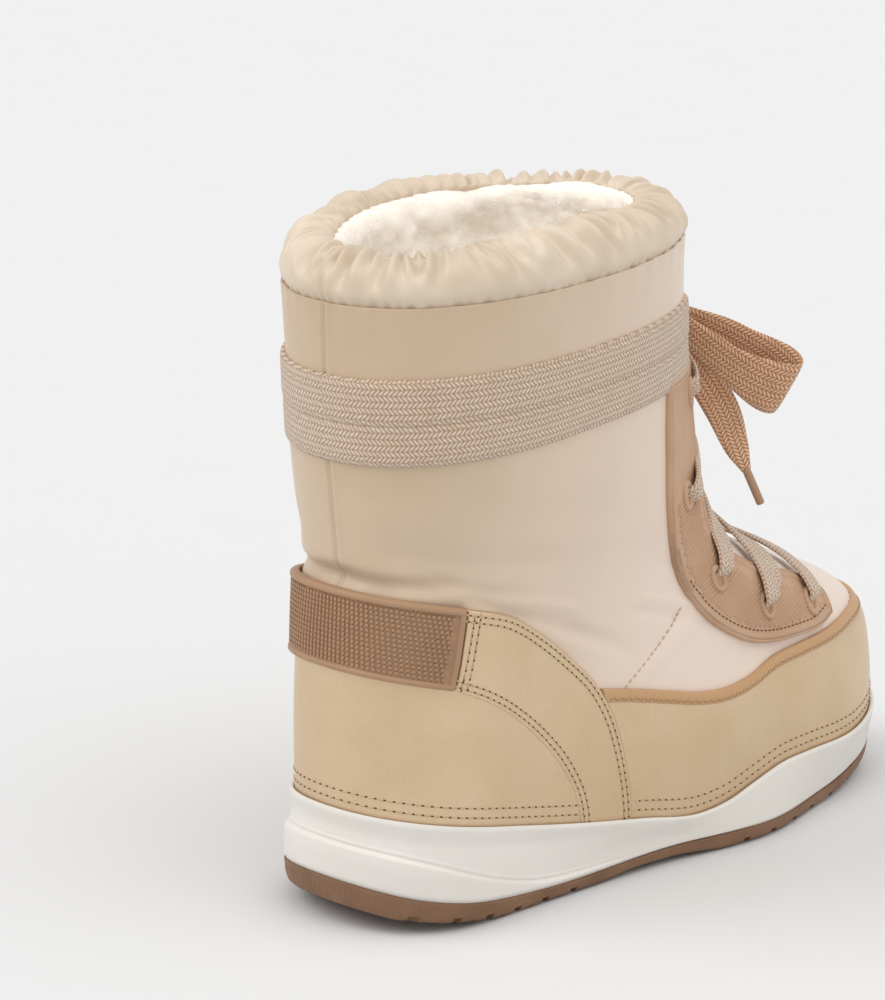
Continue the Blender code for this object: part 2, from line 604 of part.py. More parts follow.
def build_lace():
    ring = np.arange(AROUND)*2.0/AROUND
    top = lambda x: WRAP_TOP[0] + WRAP_TOP[1]*(x + 143.7)
    low = lambda x: WRAP_BOTTOM[0] + WRAP_BOTTOM[1]*(x + 142.6)
    mid_hi = lambda x: (top(x) + low(x))/2 + 0.2
    mid_lo = lambda x: (top(x) + low(x))/2 - 0.2
    band("lace_wrap_upper", ring, level(ring, mid_hi, 8, TOP_ROW), level(ring, top, 8, TOP_ROW), GAP, LACE_THICK, "lace", True)
    band("lace_wrap_lower", ring, level(ring, low, 8, TOP_ROW), level(ring, mid_lo, 8, TOP_ROW), GAP, LACE_THICK, "lace", True)

    tree = outer_tree()
    first = None
    for k in range(4):
        upper_eye, lower_eye = EYELETS[k][:2], EYELETS[k + 1][:2]
        for j, (start, end) in enumerate(((lower_eye, (2 - upper_eye[0], upper_eye[1])), ((2 - lower_eye[0], lower_eye[1]), upper_eye))):
            path, wide, nrm = lace_run(tree, start, end, AIMS[k], CROSS_LIFT + CROSS_STEP*j, CROSS_END)
            piece = strip("lace_crossings" if first is None else "crossing_%d_%d" % (k, j), path, wide, nrm,
                          LACE_WIDTH - 1.0*j, LACE_THICK, "lace", cutter=first is not None)
            if first is None:
                first = piece
            else:
                cut(first, "UNION", piece, "run%d%d" % (k, j))

    knot = np.array(KNOT)
    head = np.array([math.cos(BOW_TURN), -math.sin(BOW_TURN), 0])
    up = np.array([0, 0, 1.0])
    run = head*math.cos(BOW_DROP) - up*math.sin(BOW_DROP)
    wide = head*math.sin(BOW_DROP) + up*math.cos(BOW_DROP)
    deep = np.cross(run, wide)
    turn = (np.arange(20) + 0.5)*math.tau/20
    reach = (1 - np.cos(turn))/2
    spread = BOW_OPEN*np.sin(turn)*(0.25 + 0.9*reach**0.6)
    loop = head*BOW_START - up*3.0 + np.outer(reach*BOW_LENGTH, run) + np.outer(spread, deep - wide*BOW_SHEAR)
    loop_width = 7.5 + (BOW_WIDTH - 7.5)*ease(reach*3.0)
    rows = hermite(np.arange(len(TAIL)), TAIL, np.linspace(0, len(TAIL) - 1, 10))
    tail = np.outer(rows[:, 0], head) + np.outer(rows[:, 1], up)
    for side, sign in (("lateral", 1), ("medial", -1)):
        mirror = np.array([1, sign, 1])
        path = knot + loop*mirror
        tangent = np.roll(path, -1, 0) - np.roll(path, 1, 0)
        tangent /= np.linalg.norm(tangent, axis=1)[:, None]
        flat_dir = np.broadcast_to(wide*mirror, path.shape)
        strip("lace_loop_" + side, path, flat_dir, np.cross(flat_dir, tangent), loop_width, LACE_THICK, "lace", closed=True)
        path = knot + tail*mirror
        tangent = np.gradient(path, axis=0)
        tangent /= np.linalg.norm(tangent, axis=1)[:, None]
        flat_dir = np.cross(tangent, np.array([0.55, 0.83*sign, 0]))
        flat_dir /= np.linalg.norm(flat_dir, axis=1)[:, None]
        strip("lace_end_" + side, path, flat_dir, np.cross(flat_dir, tangent), rows[:, 2], LACE_THICK, "lace")
        tip = path[-1] + tangent[-1]*GAP
        spin = Vector((0, 0, 1)).rotation_difference(Vector(tangent[-1])).to_matrix()
        a, b = np.array(spin.col[0]), np.array(spin.col[1])
        circle = np.arange(8)*math.tau/8
        rings = [tip + tangent[-1]*h + np.outer(np.cos(circle)*r, a) + np.outer(np.sin(circle)*r, b)
                 for h, r in ((0, AGLET_RADIUS), (AGLET_LENGTH - 1, AGLET_RADIUS), (AGLET_LENGTH, AGLET_RADIUS*0.6))]
        faces = grid_faces(3, 8, wrap_cols=True) + [tuple(range(8))[::-1], tuple(16 + k for k in range(8))]
        new_object("aglet_" + side, np.concatenate(rings), faces, "rubber")
    bpy.ops.mesh.primitive_uv_sphere_add(segments=14, ring_count=8, radius=1.0)
    ball = bpy.context.object
    ball.name = ball.data.name = "lace_knot"
    for v in ball.data.vertices:
        v.co = (np.array(v.co)*KNOT_HALF + knot + (STAND_X, STAND_Y, 0))*MM
    ball.data.materials.append(material("lace"))
    for held in list(ball.users_collection):
        held.objects.unlink(ball)
    bpy_parts.objects.link(ball)


def main():
    global bpy_parts, bpy_cutters
    for old in list(bpy.data.objects):
        bpy.data.objects.remove(old)
    bpy_parts = collection("apres_ski_boot")
    bpy_cutters = collection("cutters")
    build_sole()
    build_upper()
    build_overlays()
    build_lace()
    bpy.context.view_layer.update()


main()
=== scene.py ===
"""Apres ski boot for the right foot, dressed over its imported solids.

Lengths are in millimetres and become metres in piece().  A place on the upper is
(around, up): around 0 is the back seam, 0 to 1 the outer side, 1 the front and 1 to 2
the inner side; up counts the rows of SECTIONS.
"""
import json
import math

import bpy
import numpy as np
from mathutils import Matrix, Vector, geometry, noise
from mathutils.bvhtree import BVHTree
from mathutils.kdtree import KDTree

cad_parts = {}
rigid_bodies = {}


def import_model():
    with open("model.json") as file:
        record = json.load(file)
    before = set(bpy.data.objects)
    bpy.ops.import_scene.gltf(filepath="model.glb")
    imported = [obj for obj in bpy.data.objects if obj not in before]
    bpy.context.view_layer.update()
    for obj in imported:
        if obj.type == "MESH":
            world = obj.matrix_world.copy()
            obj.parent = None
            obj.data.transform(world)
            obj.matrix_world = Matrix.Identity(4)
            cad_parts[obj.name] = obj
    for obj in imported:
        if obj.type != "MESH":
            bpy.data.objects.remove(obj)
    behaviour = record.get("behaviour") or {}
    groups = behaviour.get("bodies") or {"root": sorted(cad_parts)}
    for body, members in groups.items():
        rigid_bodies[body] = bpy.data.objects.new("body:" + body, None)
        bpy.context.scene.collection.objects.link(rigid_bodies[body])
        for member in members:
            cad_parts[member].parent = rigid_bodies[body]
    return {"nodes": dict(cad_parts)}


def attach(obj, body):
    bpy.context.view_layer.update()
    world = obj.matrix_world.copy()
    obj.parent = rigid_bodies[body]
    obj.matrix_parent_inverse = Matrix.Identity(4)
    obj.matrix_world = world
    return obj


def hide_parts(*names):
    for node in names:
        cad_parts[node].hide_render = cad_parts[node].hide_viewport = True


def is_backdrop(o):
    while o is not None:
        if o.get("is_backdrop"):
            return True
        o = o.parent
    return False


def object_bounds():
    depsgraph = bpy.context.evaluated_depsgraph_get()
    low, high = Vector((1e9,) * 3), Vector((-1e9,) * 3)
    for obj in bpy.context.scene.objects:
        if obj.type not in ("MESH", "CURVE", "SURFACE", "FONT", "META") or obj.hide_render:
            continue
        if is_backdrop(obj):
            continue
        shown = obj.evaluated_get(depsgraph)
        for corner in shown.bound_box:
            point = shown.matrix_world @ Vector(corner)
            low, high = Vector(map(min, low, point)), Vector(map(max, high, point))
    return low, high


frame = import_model()
cad_low, cad_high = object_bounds()

MM = 0.001
STAND_X = 1.0                  # the shoe's place over its origin

# The last and the sole, the same named sizes as the solids have
END_POWER = 2.2
SECTION_COLUMNS = ("back_x", "back_z", "front_x", "front_z", "sag", "heel_half",
                   "outer_half", "inner_half", "arch", "heel_round", "toe_round", "swing")
SECTIONS = (
    (-139.8, 31, 137.4, 22.5, -13.6, 39.0, 54.2, 47.2, 3.0, 46, 66, 4.8),
    (-140.0, 45, 138.0, 36.0, -13.0, 39.8, 55.0, 48.0, 3.0, 46, 67, 4.8),
    (-139.9, 62, 137.4, 51.5, -10.0, 40.4, 54.9, 48.0, 2.5, 46, 68, 4.8),
    (-139.1, 80, 133.4, 67.0, -4.0, 41.0, 53.2, 46.8, 1.5, 46, 68, 4.5),
    (-138.0, 96, 119.5, 80.0, 0.0, 41.5, 50.5, 46.0, 0.5, 47, 68, 4.0),
    (-137.2, 110, 93.5, 91.5, 2.0, 42.4, 48.5, 45.5, 0.0, 49, 67, 3.0),
    (-136.4, 122, 66.5, 102.5, 2.0, 43.6, 47.5, 46.0, 0.0, 52, 66, 2.0),
    (-136.3, 133, 46.0, 115.0, 1.0, 45.5, 47.5, 47.0, 0.0, 56, 68, 1.0),
    (-137.0, 143, 36.0, 131.0, 0.0, 47.8, 49.0, 48.5, 0.0, 60, 71, 0.0),
    (-138.4, 155, 30.0, 151.0, 0.0, 50.3, 51.0, 51.0, 0.0, 65, 75, 0.0),
    (-140.0, 172, 25.5, 178.0, 0.0, 52.8, 52.5, 52.5, 0.0, 71, 78, 0.0),
    (-141.2, 200, 22.0, 208.0, 0.0, 55.0, 55.0, 55.0, 0.0, 77, 80, 0.0),
    (-141.8, 227, 19.5, 237.0, 0.0, 58.0, 58.5, 58.5, 0.0, 80, 81, 0.0),
)
TOP_ROW = len(SECTIONS) - 1
SOLE_BACK, SOLE_FRONT = -146.0, 143.0
SOLE_HEEL_ROUND, SOLE_TOE_ROUND = 46.8, 68.0
SOLE_SWING = 4.8
# x, half width on the outer side and on the inner side
OUTLINE = ((-150, 44.9, 42.9), (-99, 44.9, 42.9), (-20, 49.5, 43.5),
           (40, 59.3, 54.0), (78, 53.2, 51.0), (150, 52.6, 51.0))
# x, height of the tread and of the joint with the midsole
HEIGHTS = ((-146, 9.5, 18.8), (-135, 5.4, 14.9), (-118, 2.6, 10.8), (-96, 0.0, 7.6),
           (-60, 0.0, 5.4), (-46, 0.0, 5.6), (-30, 1.6, 6.2), (-8, 1.8, 6.8), (12, 0.0, 6.6),
           (45, 0.0, 6.0), (78, 0.0, 6.5), (98, 1.6, 8.6), (120, 5.2, 12.4), (144, 11.4, 19.0))
FEATHER = ((-142, 44.5), (-110, 37.6), (-60, 27.2), (-28, 22.0), (2, 17.4), (15, 18.8),
           (29, 22.8), (45, 26.6), (62, 27.2), (95, 27.2), (118, 30.0), (142, 34.5))
CUP_CLEAR = 2.4
RIM = 1.3
LUG_DEPTH, LUG_SLOT = 2.6, 3.2
SLOTS_X = (-131, -117, -103, -89, -75, -61, 24, 39, 54, 69, 84, 99, 114, 128)
NOTCHES_X = (-124, -110, -96, -82, -68, 31, 46, 61, 76, 91)
NOTCH_DEPTH, NOTCH_WIDTH = 1.2, 1.0
CHANNELS = ((-128, -48), (14, 92))
CHANNEL_WIDTH = 5.0

# Panels: side-view lines (x, z)
GAP = 0.3
OVERLAY = 1.3
WING_FRONT = ((-110.8, 118.4), (-93, 112.8), (-78, 103.4), (-62, 90.3), (-50.7, 79.0),
              (-43.2, 67.1), (-36.6, 48.4), (-32.5, 26.0), (-31.8, 15.0))
WING_REAR = ((-115.4, 88.8), (-105.4, 83.9), (-88.3, 72.4), (-76.5, 61.6), (-67.0, 50.3),
             (-59.6, 37.0), (-57.0, 26.8), (-56.6, 15.0))
TAPE_TOP = ((-56, 77.4), (-47.6, 75.7), (-35.4, 73.3), (-13.6, 68.0), (2.1, 64.3), (15.7, 63.0),
            (31.3, 65.2), (41.3, 68.4), (60.4, 70.2), (78.2, 71.4), (98.3, 73.4), (120, 73.0),
            (138, 71.5))
TAPE_WIDTH = 5.6
# Straight side-view lines: a height, the slope, and the x that has the height
STRAP_TOP, STRAP_BOTTOM = (125.2, -0.22, -139.3), (95.8, -0.24, -142.7)
COUNTER_TOP = (106.0, -0.11, -150.0)
WRAP_TOP, WRAP_BOTTOM = (201.0, 0.072, -143.7), (170.9, 0.085, -142.6)
STRAP_END = ((-111.4, 119.5), (-115.9, 88.6))
STRAP_THICK, STRAP_FRAME, STRAP_RECESS = 2.4, 2.4, 1.0
STAY_BACK = ((-17.2, 190), (-17.0, 160.6), (-15.8, 138.9), (-12.5, 122.3), (-7.2, 107.4), (1.3, 96.2),
             (13.0, 86.0), (30.6, 76.7), (45.0, 73.6), (60.0, 72.8), (72.3, 73.0), (83.0, 75.5))
STAY_FRONT = ((81.5, 85.0), (66.2, 93.8), (55.1, 98.0), (38.6, 103.8), (28.4, 110.4), (19.6, 122.0),
              (14.5, 140.0), (12.0, 160.0), (11.0, 190))
STAY_THICK = 1.8
# Eyelets: around, up and turn in degrees
EYELETS = ((0.781, 9.92, 0.0), (0.698, 8.34, 10.0), (0.629, 5.50, 30.0),
           (0.640, 4.26, 20.0), (0.710, 4.02, 10.0))
EYELET_HALF = (3.4, 5.2)
EYELET_RISE = 1.0

# Collar: inward and upward steps of its section
COLLAR = ((1.2, -1.6), (0.9, 0.3), (-0.5, 3.6), (0.2, 8.9), (2.9, 13.9), (7.4, 17.3),
          (12.2, 18.5), (16.6, 17.4), (18.4, 15.2), (17.0, 12.6), (13.5, 10.6))
COLLAR_BACK_DROP, COLLAR_FRONT_DROP = 0.13, 0.30

# Lace
LACE_THICK = 1.5
LACE_WIDTH = 9.0
KNOT = (29.6, 0.0, 200.0)
BOW_TURN, BOW_DROP = math.radians(68.0), math.radians(28.0)
BOW_START, BOW_LENGTH, BOW_OPEN, BOW_SHEAR, BOW_WIDTH = 6.2, 54.0, 5.4, 0.62, 17.0
# outward, height, width
TAIL = ((2.6, -8.9, 5.0), (11.0, -17.0, 10.0), (20.0, -27.0, 13.0), (28.5, -40.0, 13.0),
        (34.0, -53.0, 9.5), (38.2, -61.8, 3.6))
AGLET_LENGTH, AGLET_RADIUS = 15.0, 1.6
# Which way the laces between two eyelets face, from the top pair down
AIMS = ((1.0, 0, 0.10), (0.86, 0, 0.51), (0.42, 0, 0.91), (0.36, 0, 0.93))


def hermite(keys, values, at):
    """Smooth curve through a table's rows."""
    keys, values, at = np.asarray(keys, float), np.asarray(values, float), np.asarray(at, float)
    slope = np.gradient(values, keys, axis=0)
    k = np.clip(np.searchsorted(keys, at, side="right") - 1, 0, len(keys) - 2)
    step = keys[k + 1] - keys[k]
    t = (at - keys[k])/step
    if values.ndim > 1:
        t, step = t[..., None], step[..., None]
    return ((2*t**3 - 3*t**2 + 1)*values[k] + (t**3 - 2*t**2 + t)*step*slope[k]
            + (-2*t**3 + 3*t**2)*values[k + 1] + (t**3 - t**2)*step*slope[k + 1])


def ease(t):
    t = np.clip(t, 0, 1)
    return t*t*(3 - 2*t)


def unit(v):
    return v/np.maximum(np.linalg.norm(v, axis=-1), 1e-9)[..., None]


def arc_length(points):
    """Length along a row of points, up to each of them."""
    return np.concatenate([[0], np.cumsum(np.linalg.norm(np.diff(points, axis=0), axis=1))])


def rise(line, x):
    """Height at x of a straight side-view line."""
    return line[0] + line[1]*(x - line[2])


def nearest_tree(points):
    tree = KDTree(len(points))
    for i, q in enumerate(points):
        tree.insert(q, i)
    tree.balance()
    return tree


def inside(points, border):
    """Which flat points lie inside a closed border."""
    within = np.zeros(len(points), bool)
    x, y = points.T
    for (x0, y0), (x1, y1) in zip(border, np.roll(border, -1, 0)):
        crosses = (y0 > y) != (y1 > y)
        within ^= crosses & (x < (x1 - x0)*(y - y0)/(y1 - y0 + 1e-12) + x0)
    return within


def end_round(distance, length):
    r = np.clip(1 - distance/length, 0, 1)
    return (1 - r**END_POWER)**(1/END_POWER)


def along(around):
    turn = np.mod(around, 2.0)
    outer = turn <= 1
    return (1 - np.cos(np.pi*np.where(outer, turn, 2 - turn)))/2, outer


def section_surface(around, up):
    around, up = np.broadcast_arrays(np.asarray(around, float), np.asarray(up, float))
    rows = hermite(np.arange(len(SECTIONS)), SECTIONS, np.clip(up, 0, TOP_ROW))
    s = {name: rows[..., k] for k, name in enumerate(SECTION_COLUMNS)}
    share, outer = along(around)
    length = np.hypot(s["front_x"] - s["back_x"], s["front_z"] - s["back_z"])
    front = np.where(outer, s["outer_half"], s["inner_half"])
    half = s["heel_half"] + (front - s["heel_half"])*ease((share - 0.12)/0.55)
    half = half - np.where(outer, 0, s["arch"])*np.exp(-((share - 0.42)/0.14)**2)
    half = half*end_round(share*length, s["heel_round"])*end_round((1 - share)*length, s["toe_round"])
    x = s["back_x"] + (s["front_x"] - s["back_x"])*share
    y = s["swing"]*ease((share - 0.35)/0.6) + np.where(outer, -half, half)
    z = s["back_z"] + (s["front_z"] - s["back_z"])*share + s["sag"]*4*share*(1 - share)
    return np.stack([x, y, z], -1)


def slopes(around, up):
    """How the surface runs with around and with up, in mm."""
    step = 1e-3
    high, low = np.minimum(up + 5*step, TOP_ROW), np.maximum(up - 5*step, 0)
    a = (section_surface(around + step, up) - section_surface(around - step, up))/(2*step)
    b = (section_surface(around, high) - section_surface(around, low))/(high - low)[..., None]
    return a, b


def normals(around, up):
    around, up = np.broadcast_arrays(np.asarray(around, float), np.asarray(up, float))
    a, b = slopes(around, up)
    return unit(np.cross(a, b))


def upper(around, up, out=0.0):
    around, up = np.broadcast_arrays(np.asarray(around, float), np.asarray(up, float))
    return section_surface(around, up) + np.asarray(out)[..., None]*normals(around, up)


def level(around, line, low, high):
    """Row at which the upper reaches the height line(x)."""
    low, high = np.full(np.shape(around), float(low)), np.full(np.shape(around), float(high))
    for _ in range(32):
        mid = (low + high)/2
        p = section_surface(around, mid)
        above = p[..., 2] > line(p[..., 0])
        high, low = np.where(above, mid, high), np.where(above, low, mid)
    return (low + high)/2


def flat(n):
    h = n.copy()
    h[..., 2] = 0
    return unit(h)


def column(table, k, x):
    rows = np.array(table, float)
    return hermite(rows[:, 0], rows[:, k], x)


def feather(x):
    return column(FEATHER, 1, x)


def joint(x):
    return column(HEIGHTS, 2, x)


def tread(x):
    rows = np.array(HEIGHTS, float)
    return np.maximum(np.interp(x, rows[:, 0], rows[:, 1]), 0)


def footbed(x):
    back_x, back_z, front_x, front_z, sag = SECTIONS[0][:5]
    share = np.clip((x - back_x)/(front_x - back_x), 0, 1)
    return back_z + (front_z - back_z)*share + sag*4*share*(1 - share) - GAP


def outline(around, inset=0.0):
    share, outer = along(around)
    span = SOLE_FRONT - SOLE_BACK
    x = SOLE_BACK + span*share
    half = np.where(outer, column(OUTLINE, 1, x), column(OUTLINE, 2, x))
    half = half*end_round(span*share, SOLE_HEEL_ROUND)*end_round(span*(1 - share), SOLE_TOE_ROUND)
    y = SOLE_SWING*np.clip((x + 20)/120, 0, 1)**1.5 + np.where(outer, -half, half)
    p = np.stack([x, y], -1)
    t = unit(np.roll(p, -1, 0) - np.roll(p, 1, 0))
    return p + np.stack([-t[:, 1], t[:, 0]], -1)*inset


def smooth_line(rows, gap=1.5):
    """Points about gap apart on a smooth side-view line through its table."""
    pts = np.array(rows, float)
    run = np.concatenate([[0], np.cumsum(np.hypot(*np.diff(pts, axis=0).T))])
    s = np.linspace(0, run[-1], max(int(run[-1]/gap), 4))
    return np.stack([hermite(run, pts[:, 0], s), hermite(run, pts[:, 1], s)], -1)


def shifted(line, distance):
    """A side-view line moved to its right."""
    t = unit(np.gradient(line, axis=0))
    return line + np.stack([t[:, 1], -t[:, 0]], -1)*distance


CHART_A, CHART_U = np.meshgrid(np.linspace(0.004, 0.996, 240), np.linspace(0, TOP_ROW, 260))
_charts = {}


def locate(line, side):
    """(around, up) of side-view points on the outer side (side 1) or inner side (-1)."""
    if side not in _charts:
        a = CHART_A if side > 0 else 2 - CHART_A
        p = section_surface(a, CHART_U).reshape(-1, 3)
        _charts[side] = nearest_tree(p*(1, 0, 1)), a.ravel(), CHART_U.ravel()
    tree, a, u = _charts[side]
    found = [tree.find((x, 0, z))[1] for x, z in line]
    a, u = a[found].copy(), u[found].copy()
    for _ in range(6):
        p = section_surface(a, u)
        pa, pu = slopes(a, u)
        ex, ez = line[:, 0] - p[:, 0], line[:, 1] - p[:, 2]
        det = pa[:, 0]*pu[:, 2] - pa[:, 2]*pu[:, 0]
        det = np.where(np.abs(det) < 40, np.sign(det + 1e-9)*40, det)
        a = a + np.clip((ex*pu[:, 2] - ez*pu[:, 0])/det, -0.02, 0.02)
        u = np.clip(u + np.clip((pa[:, 0]*ez - pa[:, 2]*ex)/det, -0.3, 0.3), 0, TOP_ROW)
    return np.stack([a, u], -1)


# Materials

def linear(code):
    """sRGB hex to a linear colour."""
    c = np.array([int(code[i:i + 2], 16) for i in (1, 3, 5)])/255
    return (*np.where(c <= 0.04045, c/12.92, ((c + 0.055)/1.055)**2.4), 1.0)


def feed(tree, socket, value):
    """Links a node's output to the socket, or sets the socket's constant."""
    if isinstance(value, bpy.types.NodeSocket):
        tree.links.new(value, socket)
    else:
        socket.default_value = value


def node(tree, kind, settings=None, **inputs):
    """Adds a node with its settings and inputs; an input goes by its name, or its number after i."""
    made = tree.nodes.new(kind)
    for name, value in (settings or {}).items():
        setattr(made, name, value)
    for name, value in inputs.items():
        by_number = name[0] == "i" and name[1:].isdigit()
        feed(tree, made.inputs[int(name[1:]) if by_number else name.replace("_", " ")], value)
    return made


def bands(pitch):
    """Scale of a wave texture whose bands are pitch mm apart."""
    return math.tau/20/pitch


class Finish:
    """A material with its Principled shader and short ways to the nodes that a finish needs."""

    def __init__(self, name, colour, roughness, **shader):
        self.material = bpy.data.materials.new(name)
        self.material.use_nodes = True
        self.tree = self.material.node_tree
        self.shader = self.tree.nodes["Principled BSDF"]
        self.set(Base_Color=linear(colour), Roughness=roughness, **shader)
        self.coords = node(self.tree, "ShaderNodeTexCoord")
        self.bumps = None

    def set(self, **values):
        for name, value in values.items():
            feed(self.tree, self.shader.inputs[name.replace("_", " ")], value)

    def at(self, x=1.0, y=1.0, z=1.0, source="Object"):
        """Object or UV coordinates in millimetres, stretched by x, y, z."""
        scale = 1000.0 if source == "Object" else 1.0
        return node(self.tree, "ShaderNodeMapping", Vector=self.coords.outputs[source],
                    Scale=(x*scale, y*scale, z*scale)).outputs[0]

    def noise(self, size, detail=3.0, rough=0.5, vector=None, warp=0.0):
        return node(self.tree, "ShaderNodeTexNoise", Vector=vector or self.at(), Scale=1.0/size,
                    Detail=detail, Roughness=rough, Distortion=warp).outputs["Fac"]

    def maths(self, operation, a, b=0.0, c=0.0):
        return node(self.tree, "ShaderNodeMath", {"operation": operation}, i0=a, i1=b, i2=c).outputs[0]

    def span(self, value, low, high, to_low=0.0, to_high=1.0):
        """Maps low to high onto to_low to to_high."""
        return node(self.tree, "ShaderNodeMapRange", i0=value, i1=low, i2=high,
                    i3=to_low, i4=to_high).outputs[0]

    def mix(self, share, a, b):
        """Colour a where share is 0 and b where it is 1."""
        a = linear(a) if isinstance(a, str) else a
        b = linear(b) if isinstance(b, str) else b
        made = node(self.tree, "ShaderNodeMix", {"data_type": "RGBA"}, i0=share, i6=a, i7=b)
        return made.outputs[2]

    def bump(self, height, depth, strength=1.0):
        """Adds relief of depth mm from a height of 0 to 1."""
        links = {"Height": height, "Distance": depth*MM, "Strength": strength}
        if self.bumps is not None:
            links["Normal"] = self.bumps
        self.bumps = node(self.tree, "ShaderNodeBump", **links).outputs[0]
        self.tree.links.new(self.bumps, self.shader.inputs["Normal"])

    def waves(self, vector, scale, direction="X"):
        settings = {"wave_type": "BANDS", "bands_direction": direction, "wave_profile": "SIN"}
        return node(self.tree, "ShaderNodeTexWave", settings, Vector=vector, Scale=scale,
                    Detail=1.0).outputs["Fac"]


def satin_nylon(name, light, dark, roughness, sheen=0.15, glow=None):
    """Polyamide taffeta, woven and calendered: soft broad sheen, faint crinkle between its folds."""
    f = Finish(name, light, roughness, Specular_IOR_Level=0.45, Sheen_Weight=sheen, Sheen_Roughness=0.4)
    broad = f.noise(38, 2.0)
    colour = f.mix(f.span(broad, 0.35, 0.7), light, dark)
    if glow:
        # painted light and shade: paler low and forward, where the light falls, and darker and golden up and
        # back
        parts = node(f.tree, "ShaderNodeSeparateXYZ", Vector=f.at())
        way = f.maths("MULTIPLY_ADD", parts.outputs[2], -0.35, parts.outputs[0])
        colour = f.mix(f.span(way, -200.0, -40.0), colour, glow)
    f.set(Base_Color=colour)
    # thread count is about 10 per mm; drawn at 0.5 mm so that it still shows
    weave = f.maths("MULTIPLY", *(f.waves(f.at(1, way, 1), bands(0.5), "DIAGONAL") for way in (1, -1)))
    f.bump(f.noise(9, 3.0, 0.55, warp=0.4), 0.35, 0.45)
    f.bump(weave, 0.02, 0.3)
    f.set(Roughness=f.span(f.noise(6, 3.0), 0.3, 0.7, roughness - 0.05, roughness + 0.07))
    return f.material


def metallic_leather(name):
    """Split leather with a foil of champagne pigment, pressed with a fine grain: soft metal glow."""
    f = Finish(name, "#CDB38F", 0.38, Metallic=0.8, Specular_IOR_Level=0.4, Coat_Weight=0.1,
               Coat_Roughness=0.35)
    broad = f.noise(30, 2.0)
    fine = f.noise(1.6, 4.0, 0.6)
    colour = f.mix(f.span(broad, 0.3, 0.7), "#DFC6A6", "#D8BE9B")
    f.set(Base_Color=f.mix(f.span(fine, 0.35, 0.75, 0.0, 0.1), colour, "#B89A74"))
    grain = node(f.tree, "ShaderNodeTexVoronoi", {"feature": "F1"}, Vector=f.at(), Scale=1/0.9)
    f.bump(f.noise(16, 2.0), 0.3, 0.25)
    f.bump(grain.outputs["Distance"], 0.03, 0.25)
    f.set(Roughness=f.span(fine, 0.3, 0.75, 0.33, 0.44))
    return f.material


def moulded_rubber(name, colour, worn, roughness=0.55):
    """Thermoplastic rubber from a spark-eroded mould: even, matt, faint orange peel."""
    f = Finish(name, colour, roughness, Specular_IOR_Level=0.35)
    f.set(Base_Color=f.mix(f.span(f.noise(18, 3.0), 0.35, 0.7), colour, worn))
    f.bump(f.noise(0.8, 2.0), 0.03, 0.5)
    f.set(Roughness=f.span(f.noise(5, 3.0), 0.3, 0.7, roughness - 0.06, roughness + 0.08))
    return f.material


def moulded_foam(name):
    """Off-white EVA, compression moulded: chalky, satin skin, very slight mottle."""
    f = Finish(name, "#E4E0D9", 0.5, Specular_IOR_Level=0.35, Subsurface_Weight=0.08,
               Subsurface_Radius=(1.0, 0.8, 0.6), Subsurface_Scale=0.003)
    f.set(Base_Color=f.mix(f.span(f.noise(25, 3.0), 0.3, 0.7, 0.0, 0.6), "#E5E1DA", "#DFDAD2"))
    f.bump(f.noise(0.7, 2.0), 0.02, 0.5)
    f.set(Roughness=f.span(f.noise(7, 2.0), 0.3, 0.7, 0.44, 0.56))
    return f.material


def woven_lace(name, light, dark):
    """Polyester flat lace, tubular braid pressed flat: rows of slanting yarns that meet in herringbone.

    UV is millimetres along and across; a yarn is 0.55 mm, drawn at 1.6 mm so that it shows.
    """
    f = Finish(name, light, 0.8, Specular_IOR_Level=0.25, Sheen_Weight=0.4, Sheen_Roughness=0.5)
    parts = node(f.tree, "ShaderNodeSeparateXYZ", Vector=f.at(source="UV"))
    u, v = parts.outputs[0], parts.outputs[1]
    row, half_yarn = 2.0, 0.8       # width of one row of slanting yarns, and half a drawn yarn
    slant = f.maths("MULTIPLY_ADD", f.maths("PINGPONG", v, row), 0.85, u)
    yarn = f.span(f.maths("PINGPONG", slant, half_yarn), 0.0, half_yarn)
    groove = f.span(f.maths("PINGPONG", v, row/2), 0.0, row/2)
    height = f.maths("MULTIPLY", f.maths("POWER", yarn, 0.6), f.maths("POWER", groove, 0.3))
    # painted shade: the yarns are darker in the grooves and lighter on their crowns
    shade = f.span(height, 0.1, 0.85)
    worn = f.noise(4.0, 3.0)
    base = f.mix(shade, dark, light)
    f.set(Base_Color=f.mix(f.span(worn, 0.4, 0.8, 0.0, 0.25), base, dark))
    f.bump(height, 0.5, 0.9)
    f.bump(f.noise(0.35, 2.0), 0.08, 0.4)
    return f.material


def grosgrain(name):
    """Ribbed polyester tape: cross ribs 0.8 mm apart along UV x, dull sheen."""
    f = Finish(name, "#C79D71", 0.65, Specular_IOR_Level=0.3, Sheen_Weight=0.3)
    ribs = f.waves(f.at(source="UV"), bands(0.8))
    # painted shade: darker in the troughs between the ribs, lighter on their crowns
    f.set(Base_Color=f.mix(ribs, "#B98D60", "#CFA77B"))
    f.bump(ribs, 0.15, 0.6)
    f.bump(f.noise(1.2, 3.0), 0.08, 0.4)
    return f.material


def plush(name, light, dark):
    """Acrylic pile: matt, fluffy, with painted light at the tips, painted shade between the locks and a faint
    painted glow.
    """
    # the faint warm emission is painted light: a glow for light scattered through the pile
    f = Finish(name, light, 0.95, Specular_IOR_Level=0.1, Sheen_Weight=0.6, Sheen_Roughness=0.6,
               Emission_Color=linear("#FFE9CC"), Emission_Strength=0.03)
    locks = f.noise(3.2, 4.0, 0.6, warp=1.2)
    # painted light and shade: light on the locks, dark between them
    f.set(Base_Color=f.mix(f.span(locks, 0.35, 0.62), dark, light))
    f.bump(locks, 0.5, 0.5)
    f.bump(f.noise(0.6, 3.0, 0.7), 0.2, 0.5)
    return f.material


